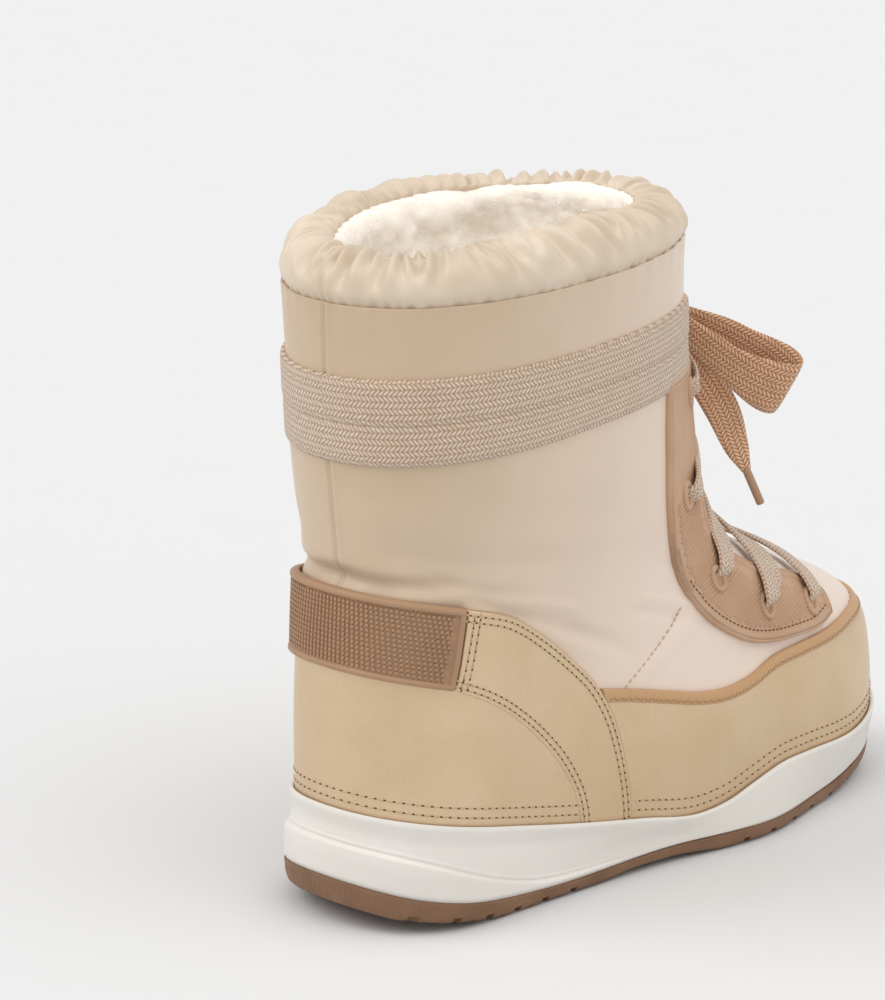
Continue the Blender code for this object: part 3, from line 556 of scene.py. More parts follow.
def thread(name, colour):
    """Bonded polyester thread: small bright strands."""
    f = Finish(name, colour, 0.5, Specular_IOR_Level=0.4, Sheen_Weight=0.2)
    f.set(Base_Color=f.mix(f.noise(0.7, 2.0), colour, "#A8845C"))
    f.bump(f.noise(0.3, 2.0), 0.05, 0.5)
    return f.material


MAT = {
    # the shaft's last colour is painted light for its low and forward parts
    "shaft": satin_nylon("satin_nylon_calendered", "#CCB498", "#C6AD8F", 0.40, glow="#E9D7C8"),
    "cuff": satin_nylon("cuff_nylon_gathered", "#DCCBB6", "#CFBCA4", 0.36, 0.0),
    "leather": metallic_leather("metallic_leather_foiled"),
    "strap": moulded_rubber("tan_rubber_moulded", "#AD8A6C", "#A58164", 0.5),
    "stay": moulded_rubber("stay_rubber_moulded", "#C5A285", "#BA9678", 0.48),
    "foam": moulded_foam("midsole_foam_moulded"),
    "gum": moulded_rubber("gum_rubber_moulded", "#8C6A50", "#7B5A42", 0.55),
    "lace": woven_lace("lace_polyester_braided", "#EBD5BF", "#A98B70"),
    "bow": woven_lace("lace_bow_polyester_braided", "#F6CCA8", "#A06C44"),
    "tape": grosgrain("tape_grosgrain_woven"),
    "fleece": plush("fleece_plush_pile", "#FFFAF2", "#FBF0E0"),
    "thread": thread("thread_bonded", "#DCC6A2"),
    "tape_thread": thread("tape_thread_bonded", "#AD7F50"),
    # painted shadow: a dark colour for the shade in needle holes and between stitches
    "painted_shadow": moulded_rubber("needle_hole_shadow", "#6B4E33", "#5C4229", 0.9),
    "aglet": moulded_rubber("aglet_plastic_moulded", "#AF8C70", "#A68468", 0.35),
}


# Meshes

def piece(name, points, faces, finish, uv=None, smooth=True):
    """A mesh object from points in mm; uv holds one pair for each point."""
    mesh = bpy.data.meshes.new(name)
    pts = (np.asarray(points, float).reshape(-1, 3) + (STAND_X, 0.0, 0.0))*MM
    mesh.from_pydata(pts.tolist(), [], [tuple(int(i) for i in f) for f in faces])
    mesh.materials.append(MAT[finish])
    mesh.polygons.foreach_set("use_smooth", np.full(len(mesh.polygons), smooth))
    if uv is not None:
        layer = mesh.uv_layers.new(name="UVMap")
        index = np.zeros(len(mesh.loops), np.int32)
        mesh.loops.foreach_get("vertex_index", index)
        layer.data.foreach_set("uv", np.asarray(uv, float).reshape(-1, 2)[index].astype(np.float32).ravel())
    mesh.update()
    made = bpy.data.objects.new(name, mesh)
    bpy.context.scene.collection.objects.link(made)
    return made


def dress(made, slot, *nodes):
    """Rides on the one body and stands for the nodes; slot is not used."""
    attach(made, "root")
    if nodes:
        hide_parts(*nodes)
    return made


def grid_faces(rows, cols, wrap_cols=False, wrap_rows=False):
    i = np.arange(rows if wrap_rows else rows - 1)[:, None]
    j = np.arange(cols if wrap_cols else cols - 1)[None, :]
    a, b = i*cols + j, i*cols + (j + 1) % cols
    c, d = ((i + 1) % rows)*cols + (j + 1) % cols, ((i + 1) % rows)*cols + j
    return np.stack([a, b, c, d], -1).reshape(-1, 4)


def cap(count, first, up):
    """Faces that close a ring from side to side."""
    faces = []
    for k in range(count//2):
        a, b = first + k, first + k + 1
        c, d = first + (count - k - 1) % count, first + (count - k) % count
        quad = (a, b, c, d) if k else (a, b, c)
        quad = (a, b, d) if b == c else quad
        faces.append(quad if up else quad[::-1])
    return faces


def ring_faces(rings, count):
    """Faces of a closed form from its rings, first and last ring capped."""
    sides = [tuple(f) for f in grid_faces(rings, count, wrap_cols=True)]
    return sides + cap(count, 0, False) + cap(count, (rings - 1)*count, True)


def sheet_normals(p):
    """Outward normals of a grid of rows going up and columns going round."""
    return unit(np.cross(np.roll(p, -1, 1) - np.roll(p, 1, 1), np.gradient(p, axis=0)))


def finished(made):
    """The object with its modifiers applied to a plain mesh."""
    bpy.context.view_layer.update()
    done = bpy.data.meshes.new_from_object(made.evaluated_get(bpy.context.evaluated_depsgraph_get()))
    made.modifiers.clear()
    made.data = done
    done.name = made.name
    return made


def thicken(made, thick):
    """The sheet with a wall that grows inwards."""
    shell = made.modifiers.new("shell", "SOLIDIFY")
    shell.thickness, shell.offset = thick*MM, -1.0
    return finished(made)


def resampled(params, gap, closed=True):
    """Places on the upper again, about gap mm apart."""
    loop = np.concatenate([params, params[:1]]) if closed else params
    p = section_surface(loop[:, 0], loop[:, 1])
    run = arc_length(p)
    count = max(int(round(run[-1]/gap)), 3)
    s = np.linspace(0, run[-1], count + 1)
    s = s[:-1] if closed else s
    return np.stack([np.interp(s, run, loop[:, k]) for k in (0, 1)], -1)


def beside(params, distance, closed=False):
    """Places moved sideways on the surface, to the left of the path seen from outside."""
    a, u = params[:, 0], params[:, 1]
    p = section_surface(a, u)
    t = unit(np.roll(p, -1, 0) - np.roll(p, 1, 0) if closed else np.gradient(p, axis=0))
    pa, pu = slopes(a, u)
    left = np.cross(unit(np.cross(pa, pu)), t)*np.asarray(distance, float).reshape(-1, 1)
    g11, g12, g22 = (pa*pa).sum(1), (pa*pu).sum(1), (pu*pu).sum(1)
    r1, r2 = (left*pa).sum(1), (left*pu).sum(1)
    det = g11*g22 - g12*g12
    return np.stack([a + (r1*g22 - r2*g12)/det, np.clip(u + (g11*r2 - g12*r1)/det, 0, TOP_ROW)], -1)


def patch(name, border, profile, finish, gap=2.2, edge_gap=1.2, under=-0.4):
    """A panel on the upper inside a border of places.

    profile gives (distance in, height out) pairs from the edge; the last height is the field's.
    """
    border = resampled(border, edge_gap)
    p = section_surface(border[:, 0], border[:, 1])
    n = normals(border[:, 0], border[:, 1])
    if np.cross(p, np.roll(p, -1, 0)).sum(0) @ n.mean(0) < 0:
        border = border[::-1]
    scale = np.array([np.linalg.norm(v, axis=1).mean() for v in slopes(border[:, 0], border[:, 1])])
    tree = nearest_tree(section_surface(border[:, 0], border[:, 1]))
    points, outs = [border], [np.full(len(border), profile[0][1])]
    for d, h in profile[1:]:
        # points that fall too near the border on the far side of a corner are dropped
        ring = beside(border, d, True)
        keep = np.array([tree.find(q)[2] > 0.86*d for q in section_surface(ring[:, 0], ring[:, 1])])
        points.append(ring[keep])
        outs.append(np.full(int(keep.sum()), h))
    last, field = profile[-1]
    grid = np.meshgrid(*(np.arange(a, b, gap/mm) for a, b, mm in zip(border.min(0), border.max(0), scale)))
    grid = np.stack(grid, -1).reshape(-1, 2)
    grid = grid[inside(grid*scale, border*scale)]
    far = np.array([tree.find(q)[2] > last + 0.5*gap for q in section_surface(grid[:, 0], grid[:, 1])], bool)
    points.append(grid[far])
    outs.append(np.full(int(far.sum()), field))
    params, out = np.concatenate(points), np.concatenate(outs)
    count = len(border)
    edges = [(i, (i + 1) % count) for i in range(count)]
    flat_pts = [Vector(q) for q in params*scale]
    verts, _, tris, source = geometry.delaunay_2d_cdt(flat_pts, edges, [], 1, 1e-7)[:4]
    order = np.array([s[0] if s else -1 for s in source])
    known = order >= 0
    places = np.where(known[:, None], params[order], np.array([tuple(v) for v in verts])/scale)
    top = upper(places[:, 0], places[:, 1], np.where(known, out[order], field))
    bottom = upper(places[:, 0], places[:, 1], under)
    lower = np.arange(len(top)) + np.where(known & (order < count), 0, len(top))
    a, b, c = ((places*scale)[[t[k] for t in tris]] for k in range(3))
    tris = [tuple(t) if s > 0 else tuple(t[::-1]) for t, s in zip(tris, np.cross(b - a, c - a))]
    faces = np.array(tris + [tuple(lower[i] for i in t[::-1]) for t in tris])
    used, faces = np.unique(faces, return_inverse=True)
    return piece(name, np.concatenate([top, bottom])[used], faces.reshape(-1, 3), finish)


def tube(path, radius, sides):
    """Points and faces of a capped tube round a path in mm."""
    path = np.asarray(path, float)
    radius = np.broadcast_to(np.asarray(radius, float), (len(path),))
    t = unit(np.gradient(path, axis=0))
    side = unit(np.cross(t, np.where(np.abs(t[:, 2:]) > 0.9, [[1.0, 0, 0]], [[0, 0, 1.0]])))
    for i in range(1, len(path)):
        side[i] = side[i - 1] - t[i]*(side[i - 1] @ t[i])
        side[i] /= np.linalg.norm(side[i])
    over = np.cross(t, side)
    turn = np.arange(sides)*math.tau/sides
    spoke = np.cos(turn)[None, :, None]*side[:, None] + np.sin(turn)[None, :, None]*over[:, None]
    pts = path[:, None] + spoke*radius[:, None, None]
    faces = [tuple(f) for f in grid_faces(len(path), sides, wrap_cols=True)]
    faces += [tuple(range(sides))[::-1], tuple((len(path) - 1)*sides + k for k in range(sides))]
    return pts.reshape(-1, 3), faces


def joined(parts):
    """One list of points and faces from several."""
    pts, faces, first = [], [], 0
    for p, f in parts:
        pts.append(np.asarray(p))
        faces += [tuple(int(i) + first for i in q) for q in f]
        first += len(p)
    return np.concatenate(pts), faces


def repeat_tree(name):
    """Geometry Nodes: one copy of Piece on each point, turned by its heading and facing, realised."""
    tree = bpy.data.node_groups.new(name, "GeometryNodeTree")
    sockets = (("Geometry", "Geometry"), ("Piece", "Object"), ("Size", "Float"), ("Finish", "Material"))
    for label, kind in sockets:
        tree.interface.new_socket(label, in_out="INPUT", socket_type="NodeSocket" + kind)
    tree.interface.new_socket("Geometry", in_out="OUTPUT", socket_type="NodeSocketGeometry")
    start = node(tree, "NodeGroupInput")
    heading, facing, size = (
        node(tree, "GeometryNodeInputNamedAttribute", {"data_type": kind}, Name=label).outputs[0]
        for label, kind in (("heading", "FLOAT_VECTOR"), ("facing", "FLOAT_VECTOR"), ("size", "FLOAT")))
    turned = node(tree, "FunctionNodeAxesToRotation", {"primary_axis": "Z", "secondary_axis": "X"},
                  Primary_Axis=facing, Secondary_Axis=heading)
    scale = node(tree, "ShaderNodeMath", {"operation": "MULTIPLY"}, i0=size, i1=start.outputs["Size"])
    shape = node(tree, "GeometryNodeObjectInfo", Object=start.outputs["Piece"])
    copies = node(tree, "GeometryNodeInstanceOnPoints", Points=start.outputs["Geometry"],
                  Instance=shape.outputs["Geometry"], Rotation=turned.outputs[0], Scale=scale.outputs[0])
    real = node(tree, "GeometryNodeRealizeInstances", Geometry=copies.outputs[0])
    coat = node(tree, "GeometryNodeSetMaterial", Geometry=real.outputs[0], Material=start.outputs["Finish"])
    node(tree, "NodeGroupOutput", Geometry=coat.outputs[0])
    return tree


REPEAT = repeat_tree("repeat_on_places")


def repeated(name, shape, centres, headings, facings, finish, sizes=None, smooth=True):
    """shape is (points, faces) in mm about its own origin, x along the heading and z outward."""
    mould = piece(name + "_mould", np.asarray(shape[0]) - (STAND_X, 0, 0), shape[1], finish, smooth=smooth)
    carrier = piece(name, centres, [], finish)
    for label, values in (("heading", headings), ("facing", facings)):
        attribute = carrier.data.attributes.new(label, "FLOAT_VECTOR", "POINT")
        attribute.data.foreach_set("vector", unit(np.asarray(values, float)).astype(np.float32).ravel())
    attribute = carrier.data.attributes.new("size", "FLOAT", "POINT")
    values = np.broadcast_to(1.0 if sizes is None else sizes, (len(centres),))
    attribute.data.foreach_set("value", values.astype(np.float32))
    modifier = carrier.modifiers.new("repeat", "NODES")
    modifier.node_group = REPEAT
    inputs = {"Piece": mould, "Size": 1.0, "Finish": MAT[finish]}
    for item in REPEAT.interface.items_tree:
        if item.in_out == "INPUT" and item.name in inputs:
            modifier[item.identifier] = inputs[item.name]
    finished(carrier)
    for label in ("heading", "facing", "size"):
        if label in carrier.data.attributes:
            carrier.data.attributes.remove(carrier.data.attributes[label])
    bpy.data.objects.remove(mould)
    return carrier


def capsule(length, radius, sides=6):
    """A stitch: a strand that dives at both ends."""
    x = np.array([-1, -0.86, -0.45, 0, 0.45, 0.86, 1])*length/2
    r = np.array([0.25, 0.8, 1, 1, 1, 0.8, 0.25])*radius
    z = -np.abs(x/(length/2))**3*radius*1.3
    return tube(np.stack([x, 0*x, z], -1), r, sides)


def stitch_places(params, out, pitch):
    """Centres, headings and facings of stitches along places on the upper."""
    q = resampled(params, pitch, False)
    p = upper(q[:, 0], q[:, 1], out)
    return p, unit(np.gradient(p, axis=0)), normals(q[:, 0], q[:, 1])


# Camera, light and floor

# Place in m, direction and focal length in mm, fitted to the photograph
CAMERA_PLACE = (-1.0694, -0.9679, 0.5263)
CAMERA_WAY = (0.6884, 0.6748, -0.2660)
FOCAL_LENGTH = 143.78
# Distant softboxes: name, strength, apparent angle, way the light goes
LIGHTS = (("softbox_side", 0.90, 60, (-0.10, 0.42, -0.75)),
          ("softbox_back", 1.00, 40, (0.62, -0.50, -0.75)),
          ("softbox_top", 0.30, 60, (0.25, 0.15, -1.0)))
WORLD_STRENGTH = 0.68
FLOOR_HALF, FLOOR_DROP = 9.0, 0.0002


def make_camera():
    data = bpy.data.cameras.new("camera")
    cam = bpy.data.objects.new("camera", data)
    bpy.context.scene.collection.objects.link(cam)
    cam.location = CAMERA_PLACE
    cam.rotation_mode = "QUATERNION"
    cam.rotation_quaternion = Vector(CAMERA_WAY).to_track_quat("-Z", "Y")
    data.sensor_width = 36.0
    data.lens = FOCAL_LENGTH
    data.clip_start, data.clip_end = 0.05, 40.0
    bpy.context.scene.camera = cam

def make_stage():
    scene = bpy.context.scene
    world = bpy.data.worlds.new("studio")
    scene.world = world
    world.use_nodes = True
    background = world.node_tree.nodes["Background"]
    background.inputs["Color"].default_value = (1.0, 1.0, 1.0, 1.0)
    background.inputs["Strength"].default_value = WORLD_STRENGTH
    scene.view_settings.view_transform = "Standard"
    for name, energy, angle, way in LIGHTS:
        data = bpy.data.lights.new(name, "SUN")
        data.energy, data.angle = energy, math.radians(angle)
        lamp = bpy.data.objects.new(name, data)
        lamp.rotation_mode = "QUATERNION"
        lamp.rotation_quaternion = Vector(way).to_track_quat("-Z", "Y")
        scene.collection.objects.link(lamp)
    floor = bpy.data.meshes.new("floor")
    corners = [(x*FLOOR_HALF, y*FLOOR_HALF, 0) for x, y in ((-1, -1), (1, -1), (1, 1), (-1, 1))]
    floor.from_pydata(corners, [], [(0, 1, 2, 3)])
    ground = bpy.data.objects.new("floor", floor)
    ground.location.z = -FLOOR_DROP
    scene.collection.objects.link(ground)
    f = Finish("floor_paper", "#E9E9E9", 0.9, Specular_IOR_Level=0.1)
    f.set(Base_Color=f.mix(f.noise(60, 2.0), "#DBDBDB", "#DCDCDC"))
    floor.materials.append(f.material)
    ground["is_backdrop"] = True


# Upper: shaft, collar and lining

# Soft creases: places from and to, depth in mm (negative is a ridge), half width in mm
CREASES = (
    (-0.02, 6.52, 0.20, 6.42, 2.4, 4.5), (0.12, 6.2, 0.24, 6.3, -1.3, 4.0),
    (0.19, 6.75, 0.33, 6.0, 1.0, 3.6), (0.25, 6.0, 0.42, 4.2, 1.1, 2.8),
    (0.30, 6.1, 0.40, 5.2, -0.8, 3.4), (0.45, 3.3, 0.53, 4.3, -0.7, 2.6),
    (1.80, 6.45, 2.02, 6.52, 2.2, 4.5), (1.60, 4.4, 1.76, 6.0, 1.1, 2.8),
    (0.60, 6.4, 0.80, 7.2, 0.5, 5.0), (1.20, 7.2, 1.40, 6.4, 0.5, 5.0),
    (0.10, 7.6, 0.40, 7.2, 0.8, 8.0), (0.30, 9.0, 0.55, 8.4, 0.6, 9.0),
    (1.50, 7.3, 1.85, 7.7, 0.8, 8.0), (0.02, 9.3, 0.25, 9.6, 0.4, 8.0),
    (0.55, 3.2, 0.75, 3.0, 0.6, 3.4), (1.25, 3.1, 1.45, 3.3, 0.6, 3.4),
    (0.47, 4.9, 0.55, 4.1, 0.6, 2.0), (0.50, 5.2, 0.57, 4.6, -0.5, 2.2),
    (0.38, 4.6, 0.44, 3.7, 0.6, 2.4),
    (0.56, 3.5, 0.63, 3.3, 0.5, 2.0), (0.33, 5.0, 0.38, 4.1, -0.5, 2.6),
)
QUARTER_SEAM = ((0.425, 3.12), (0.478, 3.9), (0.529, 4.66))
# About how many mm one unit of around and one of up are, on the shaft, its top edge and the toe
AROUND_MM, UP_MM = 300.0, 15.0
TOP_MM, TOE_MM = 195, 240


def trough(around, up, a0, u0, a1, u1, depth, half):
    """A soft trough from one place to another, fading at its ends."""
    k = np.array([AROUND_MM, UP_MM])
    d = np.stack([np.mod(around - a0 + 1, 2) - 1, up - u0], -1)*k
    run = np.array([a1 - a0, u1 - u0])*k
    length = np.linalg.norm(run)
    s = (d @ run)/length**2
    off = d - s[..., None]*run
    return -depth*np.exp(-(off**2).sum(-1)/half**2)*ease((s + 0.25)/0.4)*ease((1.25 - s)/0.4)


def ripple(s, seed, pitch, jitter=0.35):
    """A row of uneven waves along s mm, from -1 to 1."""
    rng = np.random.default_rng(seed)
    ends = np.cumsum(pitch*(1 + jitter*(rng.random(400)*2 - 1)))
    amp = 0.45 + 0.55*rng.random(401)
    k = np.searchsorted(ends, s)
    low = np.concatenate([[0], ends])[k]
    t = (s - low)/(ends[np.minimum(k, 399)] - low)
    return np.sin(np.pi*t)*np.where(k % 2 == 0, 1, -1)*amp[k]


def shaft_relief(around, up):
    h = sum(trough(around, up, *c) for c in CREASES)
    turn = np.mod(around, 2)
    back = (np.mod(around + 1, 2) - 1)*AROUND_MM
    h = h - 1.1*np.exp(-(np.abs(back)/0.9)**2) + 0.45*np.exp(-(back - 2.6)**2/4.0)
    gathers = ripple(turn*TOP_MM, 3, 4.2)*np.exp(-(TOP_ROW - up)/0.22)
    h = h + 0.7*gathers*(0.4 + 0.6*np.exp(-((turn - 0.62)/0.22)**2))
    for side in (1, -1):
        a, u = np.array(QUARTER_SEAM).T
        a = a if side > 0 else 2 - a
        for k in range(2):
            h = h + trough(around, up, a[k], u[k], a[k + 1], u[k + 1], 0.45, 0.9)
    # small gathers over the tape at the toe
    toe = np.exp(-((turn - 1)/0.22)**2)
    h = h + 0.55*ripple(turn*TOE_MM, 8, 3.4)*toe*np.exp(-((up - 3.45)/0.45)**2)
    return h


def make_shaft():
    fine = np.concatenate([np.linspace(0, 2, 360, endpoint=False), [0.004, 0.009, 0.014, 1.996, 1.991]])
    around = np.unique(np.round(fine, 5))
    up = np.concatenate([np.linspace(0, 3, 15, endpoint=False),
                         np.linspace(3, TOP_ROW - 0.5, 66, endpoint=False),
                         TOP_ROW - np.array([0.5, 0.42, 0.34, 0.26, 0.18, 0.12, 0.06, 0.02, 0.0])])
    a, u = np.meshgrid(around, up)
    faces = grid_faces(len(up), len(around), wrap_cols=True)
    made = piece("shaft_nylon", upper(a, u, shaft_relief(a, u)), faces, "shaft")
    dress(thicken(made, 1.0), "satin_nylon", "upper")
    # stitches of the quarter seams
    rows = []
    for side in (1, -1):
        seam = np.array(QUARTER_SEAM)
        seam[:, 0] = seam[:, 0] if side > 0 else 2 - seam[:, 0]
        rows.append(stitch_places(seam, 0.0, 2.6))
    c, h, n = (np.concatenate(v) for v in zip(*rows))
    dress(repeated("shaft_stitches", capsule(1.9, 0.28), c, h, n, "thread"), "satin_nylon")


def collar_grid(around, profile):
    """The collar's section swept round the top row: rows follow the profile."""
    base = section_surface(around, 0*around + TOP_ROW)
    inward = -flat(normals(around, 0*around + TOP_ROW))
    share, _ = along(around)
    drop = 1 - COLLAR_BACK_DROP*(1 - ease(share/0.35)) - COLLAR_FRONT_DROP*ease((share - 0.45)/0.5)
    rows = []
    for d, h in profile:
        rows.append(base + inward*d + np.column_stack([0*share, 0*share, h*np.where(h > 1, drop, 1)]))
    return np.stack(rows)


def make_collar():
    count = 760
    around = np.arange(count)*2.0/count
    keys = np.array(COLLAR)
    run = arc_length(keys)
    s = np.linspace(0, run[-1], 42)
    profile = np.stack([hermite(run, keys[:, k], s) for k in (0, 1)], -1)
    grid = collar_grid(around, profile)
    n = sheet_normals(grid)
    length = arc_length(grid[20])
    total = length[-1] + np.linalg.norm(grid[20, 0] - grid[20, -1])
    lip = run[6]
    t = (s/lip)[:, None]                    # 0 at the seam, 1 at the elastic edge
    place = length[None, :]
    relief = np.zeros(grid.shape[:2])
    rng = np.random.default_rng(21)
    at = 0.0
    while at < total:
        depth = 0.9 + 2.2*rng.random()**1.3
        lean = (rng.random() - 0.4)*18
        start = 0.12 + 0.5*rng.random()
        tight = 0.9 + 1.1*rng.random()
        x = np.mod(place - at - lean*(1 - t) + total/2, total) - total/2
        wide = tight + 2.6*np.clip(1 - t, 0, 1)
        fade = ease((t - start*0.7)/0.5)*np.where(t > 1, np.exp(-((t - 1)/0.25)**2), 1)
        relief -= depth*fade*(np.exp(-(x/wide)**2) - 0.85*np.exp(-((x - 1.6*wide)/wide)**2))
        at += 3.6 + 4.4*rng.random()
    # broad swells, tight gathers at the elastic edge and small puckers at the seam
    relief += 0.9*ripple(place + 6*t, 12, 14.0)*np.exp(-((t - 0.55)/0.4)**2)
    ruffle = ripple(place + 1.5*np.sin(place/17) + 0*t, 5, 3.6, 0.6)
    relief += 0.55*ruffle*np.exp(-((t - 1.12)/0.26)**2)
    relief += 0.3*ripple(place + 0*t, 9, 2.2)*np.exp(-((t - 0.08)/0.10)**2)
    back = (np.mod(place + total/2, total) - total/2)
    relief -= 0.9*np.exp(-(back/0.7)**2)*ease((1.1 - t)/0.2)
    relief += 0.5*np.exp(-((back - 2.4)/1.4)**2)*ease((1.1 - t)/0.2)
    made = piece("collar_cuff", grid + n*relief[..., None], grid_faces(len(s), count, wrap_cols=True), "cuff")
    thicken(made, 0.8)
    dress(made, "cuff_nylon", "collar")


# Steps in and up from the top row, then rows of the upper with the pile's depth under them
LINING = ((13.2, 12.6), (17.8, 13.8), (20.4, 11.6), (21.8, 7.4), (21.6, 3.4), (20.8, 0.0))
LINING_DEPTH = ((11.7, 19.5), (11.3, 18.5), (10.9, 17.0), (10.3, 15.0), (9.5, 13.0), (8, 11.0),
                (6.5, 9.5), (5, 9.0), (4, 8.5), (3, 8.0), (2, 7.5), (1, 7.0), (0.3, 6.0))
LOCKS = 5200


def pile(place):
    """Lumps of the pile at a place, in mm."""
    coarse, middle = noise.noise(place/22.0), noise.noise(place/8.0 + Vector((7, 3, 1)))
    return 4.5*coarse + 1.5*middle + 0.9*noise.noise(place/3.2)


def make_lining():
    count = 300
    around = np.arange(count)*2.0/count
    head = collar_grid(around, LINING)
    deep = np.stack([upper(around, np.full(count, float(u)), -float(d)) for u, d in LINING_DEPTH])
    keys = np.concatenate([head, deep])
    steps = np.linalg.norm(np.diff(keys.mean(1) + 0*keys[:, 0], axis=0), axis=1) + 2.0
    run = np.concatenate([[0], np.cumsum(steps)])
    s = np.concatenate([np.linspace(0, run[9], 40, endpoint=False), np.linspace(run[9], run[-1], 30)])
    grid = hermite(run, keys.reshape(len(keys), -1), s).reshape(len(s), count, 3)
    n = -sheet_normals(grid[::-1])[::-1]
    lumps = np.array([pile(Vector(q)) for q in grid.reshape(-1, 3)]).reshape(grid.shape[:2])
    # the pile bunches to a dark fold on the far side
    share = np.mod(around, 2)[None, :]
    z = grid[..., 2] - 237
    fold = np.exp(-((share - 1.36)/0.035)**2)*np.exp(-((z + 8)/14)**2)
    grid = grid + n*(lumps*ease((s/run[3])[:, None]) - 5.0*fold)[..., None]
    made = piece("fleece_lining", grid, grid_faces(len(s), count, wrap_cols=True)[:, ::-1], "fleece")
    thicken(made, 1.2)
    dress(made, "fleece")
    # locks of pile on what shows through the collar
    rng = np.random.default_rng(4)
    top = slice(3, 46)
    pts, nrm = grid[top].reshape(-1, 3), n[top].reshape(-1, 3)
    pick = rng.choice(len(pts), LOCKS, replace=False)
    c = pts[pick] - 0.3*nrm[pick] + (rng.random((LOCKS, 3)) - 0.5)*1.6
    facing = unit(nrm[pick] + 1.1*(rng.random((LOCKS, 3)) - 0.5) + np.array([0, 0, -0.5]))
    heading = unit(np.cross(facing, rng.random((LOCKS, 3)) - 0.5))
    lock = tube([(0, 0, -0.8), (0.2, 0, 0.2), (0.7, 0, 0.7), (1.2, 0, 0.8)], [0.7, 0.66, 0.5, 0.2], 5)
    sizes = 0.5 + 0.5*rng.random(LOCKS)
    dress(repeated("fleece_locks", lock, c, heading, facing, "fleece", sizes), "fleece")


# Panels

def feather_places(around, lift):
    """Places at a height above the feather line."""
    u = level(around, lambda x: feather(x) + lift, 0, 4)
    return np.stack([around, u], -1)


EDGE = ((0.0, -0.35), (0.12, 0.55), (0.45, 0.95), (0.9, 1.0))


def edged(out):
    """Rounded panel edge up to the field's height."""
    return [(d, h if h < 0 else h*out) for d, h in EDGE]


PANEL_FOOT = -1.6               # the panels end this far under the feather line
PANEL_OUT = GAP + OVERLAY
WING_OUT = PANEL_OUT + 0.25
FOOT_ROWS = (3.2, 6.8)          # stitch rows over the feather line
WING_ROWS = (1.9, 4.1)          # and in from the wing's edges
WING_FRONT_FOOT, WING_REAR_FOOT = 19, 23


def stitch_row(rows, params, out, pitch):
    """Adds stitches and, between them, dark dashes of painted shadow for the needle holes."""
    c, h, n = stitch_places(params, out, pitch)
    rows.append((c, h, n, c + h*pitch*0.5 + n*0.02))


def make_wings(rows):
    front_line, rear_line = smooth_line(WING_FRONT), smooth_line(WING_REAR)
    for side, word in ((1, "lateral"), (-1, "medial")):
        front = locate(front_line[front_line[:, 1] > WING_FRONT_FOOT], side)
        rear = locate(rear_line[rear_line[:, 1] > WING_REAR_FOOT], side)
        foot = feather_places(np.linspace(front[-1, 0], rear[-1, 0], 12), PANEL_FOOT)
        border = np.concatenate([front, foot[1:-1], rear[::-1]])
        wing = patch("wing_" + word + "_leather", border, edged(WING_OUT), "leather")
        dress(wing, "metallic_leather", "wing_" + word)
        for d in WING_ROWS:
            end = np.array([(STRAP_END[0][0] + 1.2 + d, 115.5), (STRAP_END[1][0] + 1.2 + d, 90.5)])
            for places in (beside(front, -side*d), beside(rear, side*d), locate(end, side)):
                stitch_row(rows, places, WING_OUT, 3.0)


def make_counter(rows):
    rear = smooth_line(WING_REAR)
    line = shifted(rear, -1.0)[rear[:, 1] > WING_REAR_FOOT]
    left, right = locate(line, 1), locate(line, -1)
    low = feather_places(np.linspace(right[-1, 0] - 2, left[-1, 0], 60), PANEL_FOOT)
    high_a = np.linspace(left[0, 0], right[0, 0] - 2, 40)
    high = np.stack([high_a, level(high_a, lambda x: rise(COUNTER_TOP, x), 3, 8)], -1)
    border = np.concatenate([low, left[::-1], high, right - (2, 0)])
    counter = patch("counter_leather", border, edged(PANEL_OUT), "leather", gap=2.6)
    dress(counter, "metallic_leather", "heel_counter")
    for lift in FOOT_ROWS:
        around = np.linspace(right[-1, 0] - 1.995, left[-1, 0] - 0.005, 90)
        stitch_row(rows, feather_places(around, lift), PANEL_OUT, 3.3)


def rand_sides():
    """The rand's two ends under the wings."""
    front = smooth_line(WING_FRONT)
    line = shifted(front, 0.6)[(front[:, 1] > WING_FRONT_FOOT) & (front[:, 1] < 71)]
    return locate(line, 1), locate(line, -1)


def tape_z(x):
    tape = smooth_line(TAPE_TOP, 1.0)
    return np.interp(x, tape[:, 0], tape[:, 1])


def make_rand(rows):
    near, far = rand_sides()
    top_a = np.linspace(near[0, 0], far[0, 0], 160)
    top = np.stack([top_a, level(top_a, lambda x: tape_z(x) - TAPE_WIDTH + 1.2, 0, 6)], -1)
    low = feather_places(np.linspace(near[-1, 0], far[-1, 0], 120), PANEL_FOOT)
    border = np.concatenate([top, far, low[::-1], near[::-1]])
    dress(patch("rand_leather", border, edged(PANEL_OUT), "leather", gap=2.6), "metallic_leather", "toe_rand")
    for lift in FOOT_ROWS:
        around = np.linspace(near[-1, 0] + 0.004, far[-1, 0] - 0.004, 120)
        stitch_row(rows, feather_places(around, lift), PANEL_OUT, 3.3)


# The tape's section: share of its width and height out
TAPE_SECTION = ((0.0, -0.3), (0.03, 0.9), (0.12, 1.45), (0.5, 1.6), (0.88, 1.55), (0.97, 1.1),
                (1.0, -0.3), (0.5, -0.5))


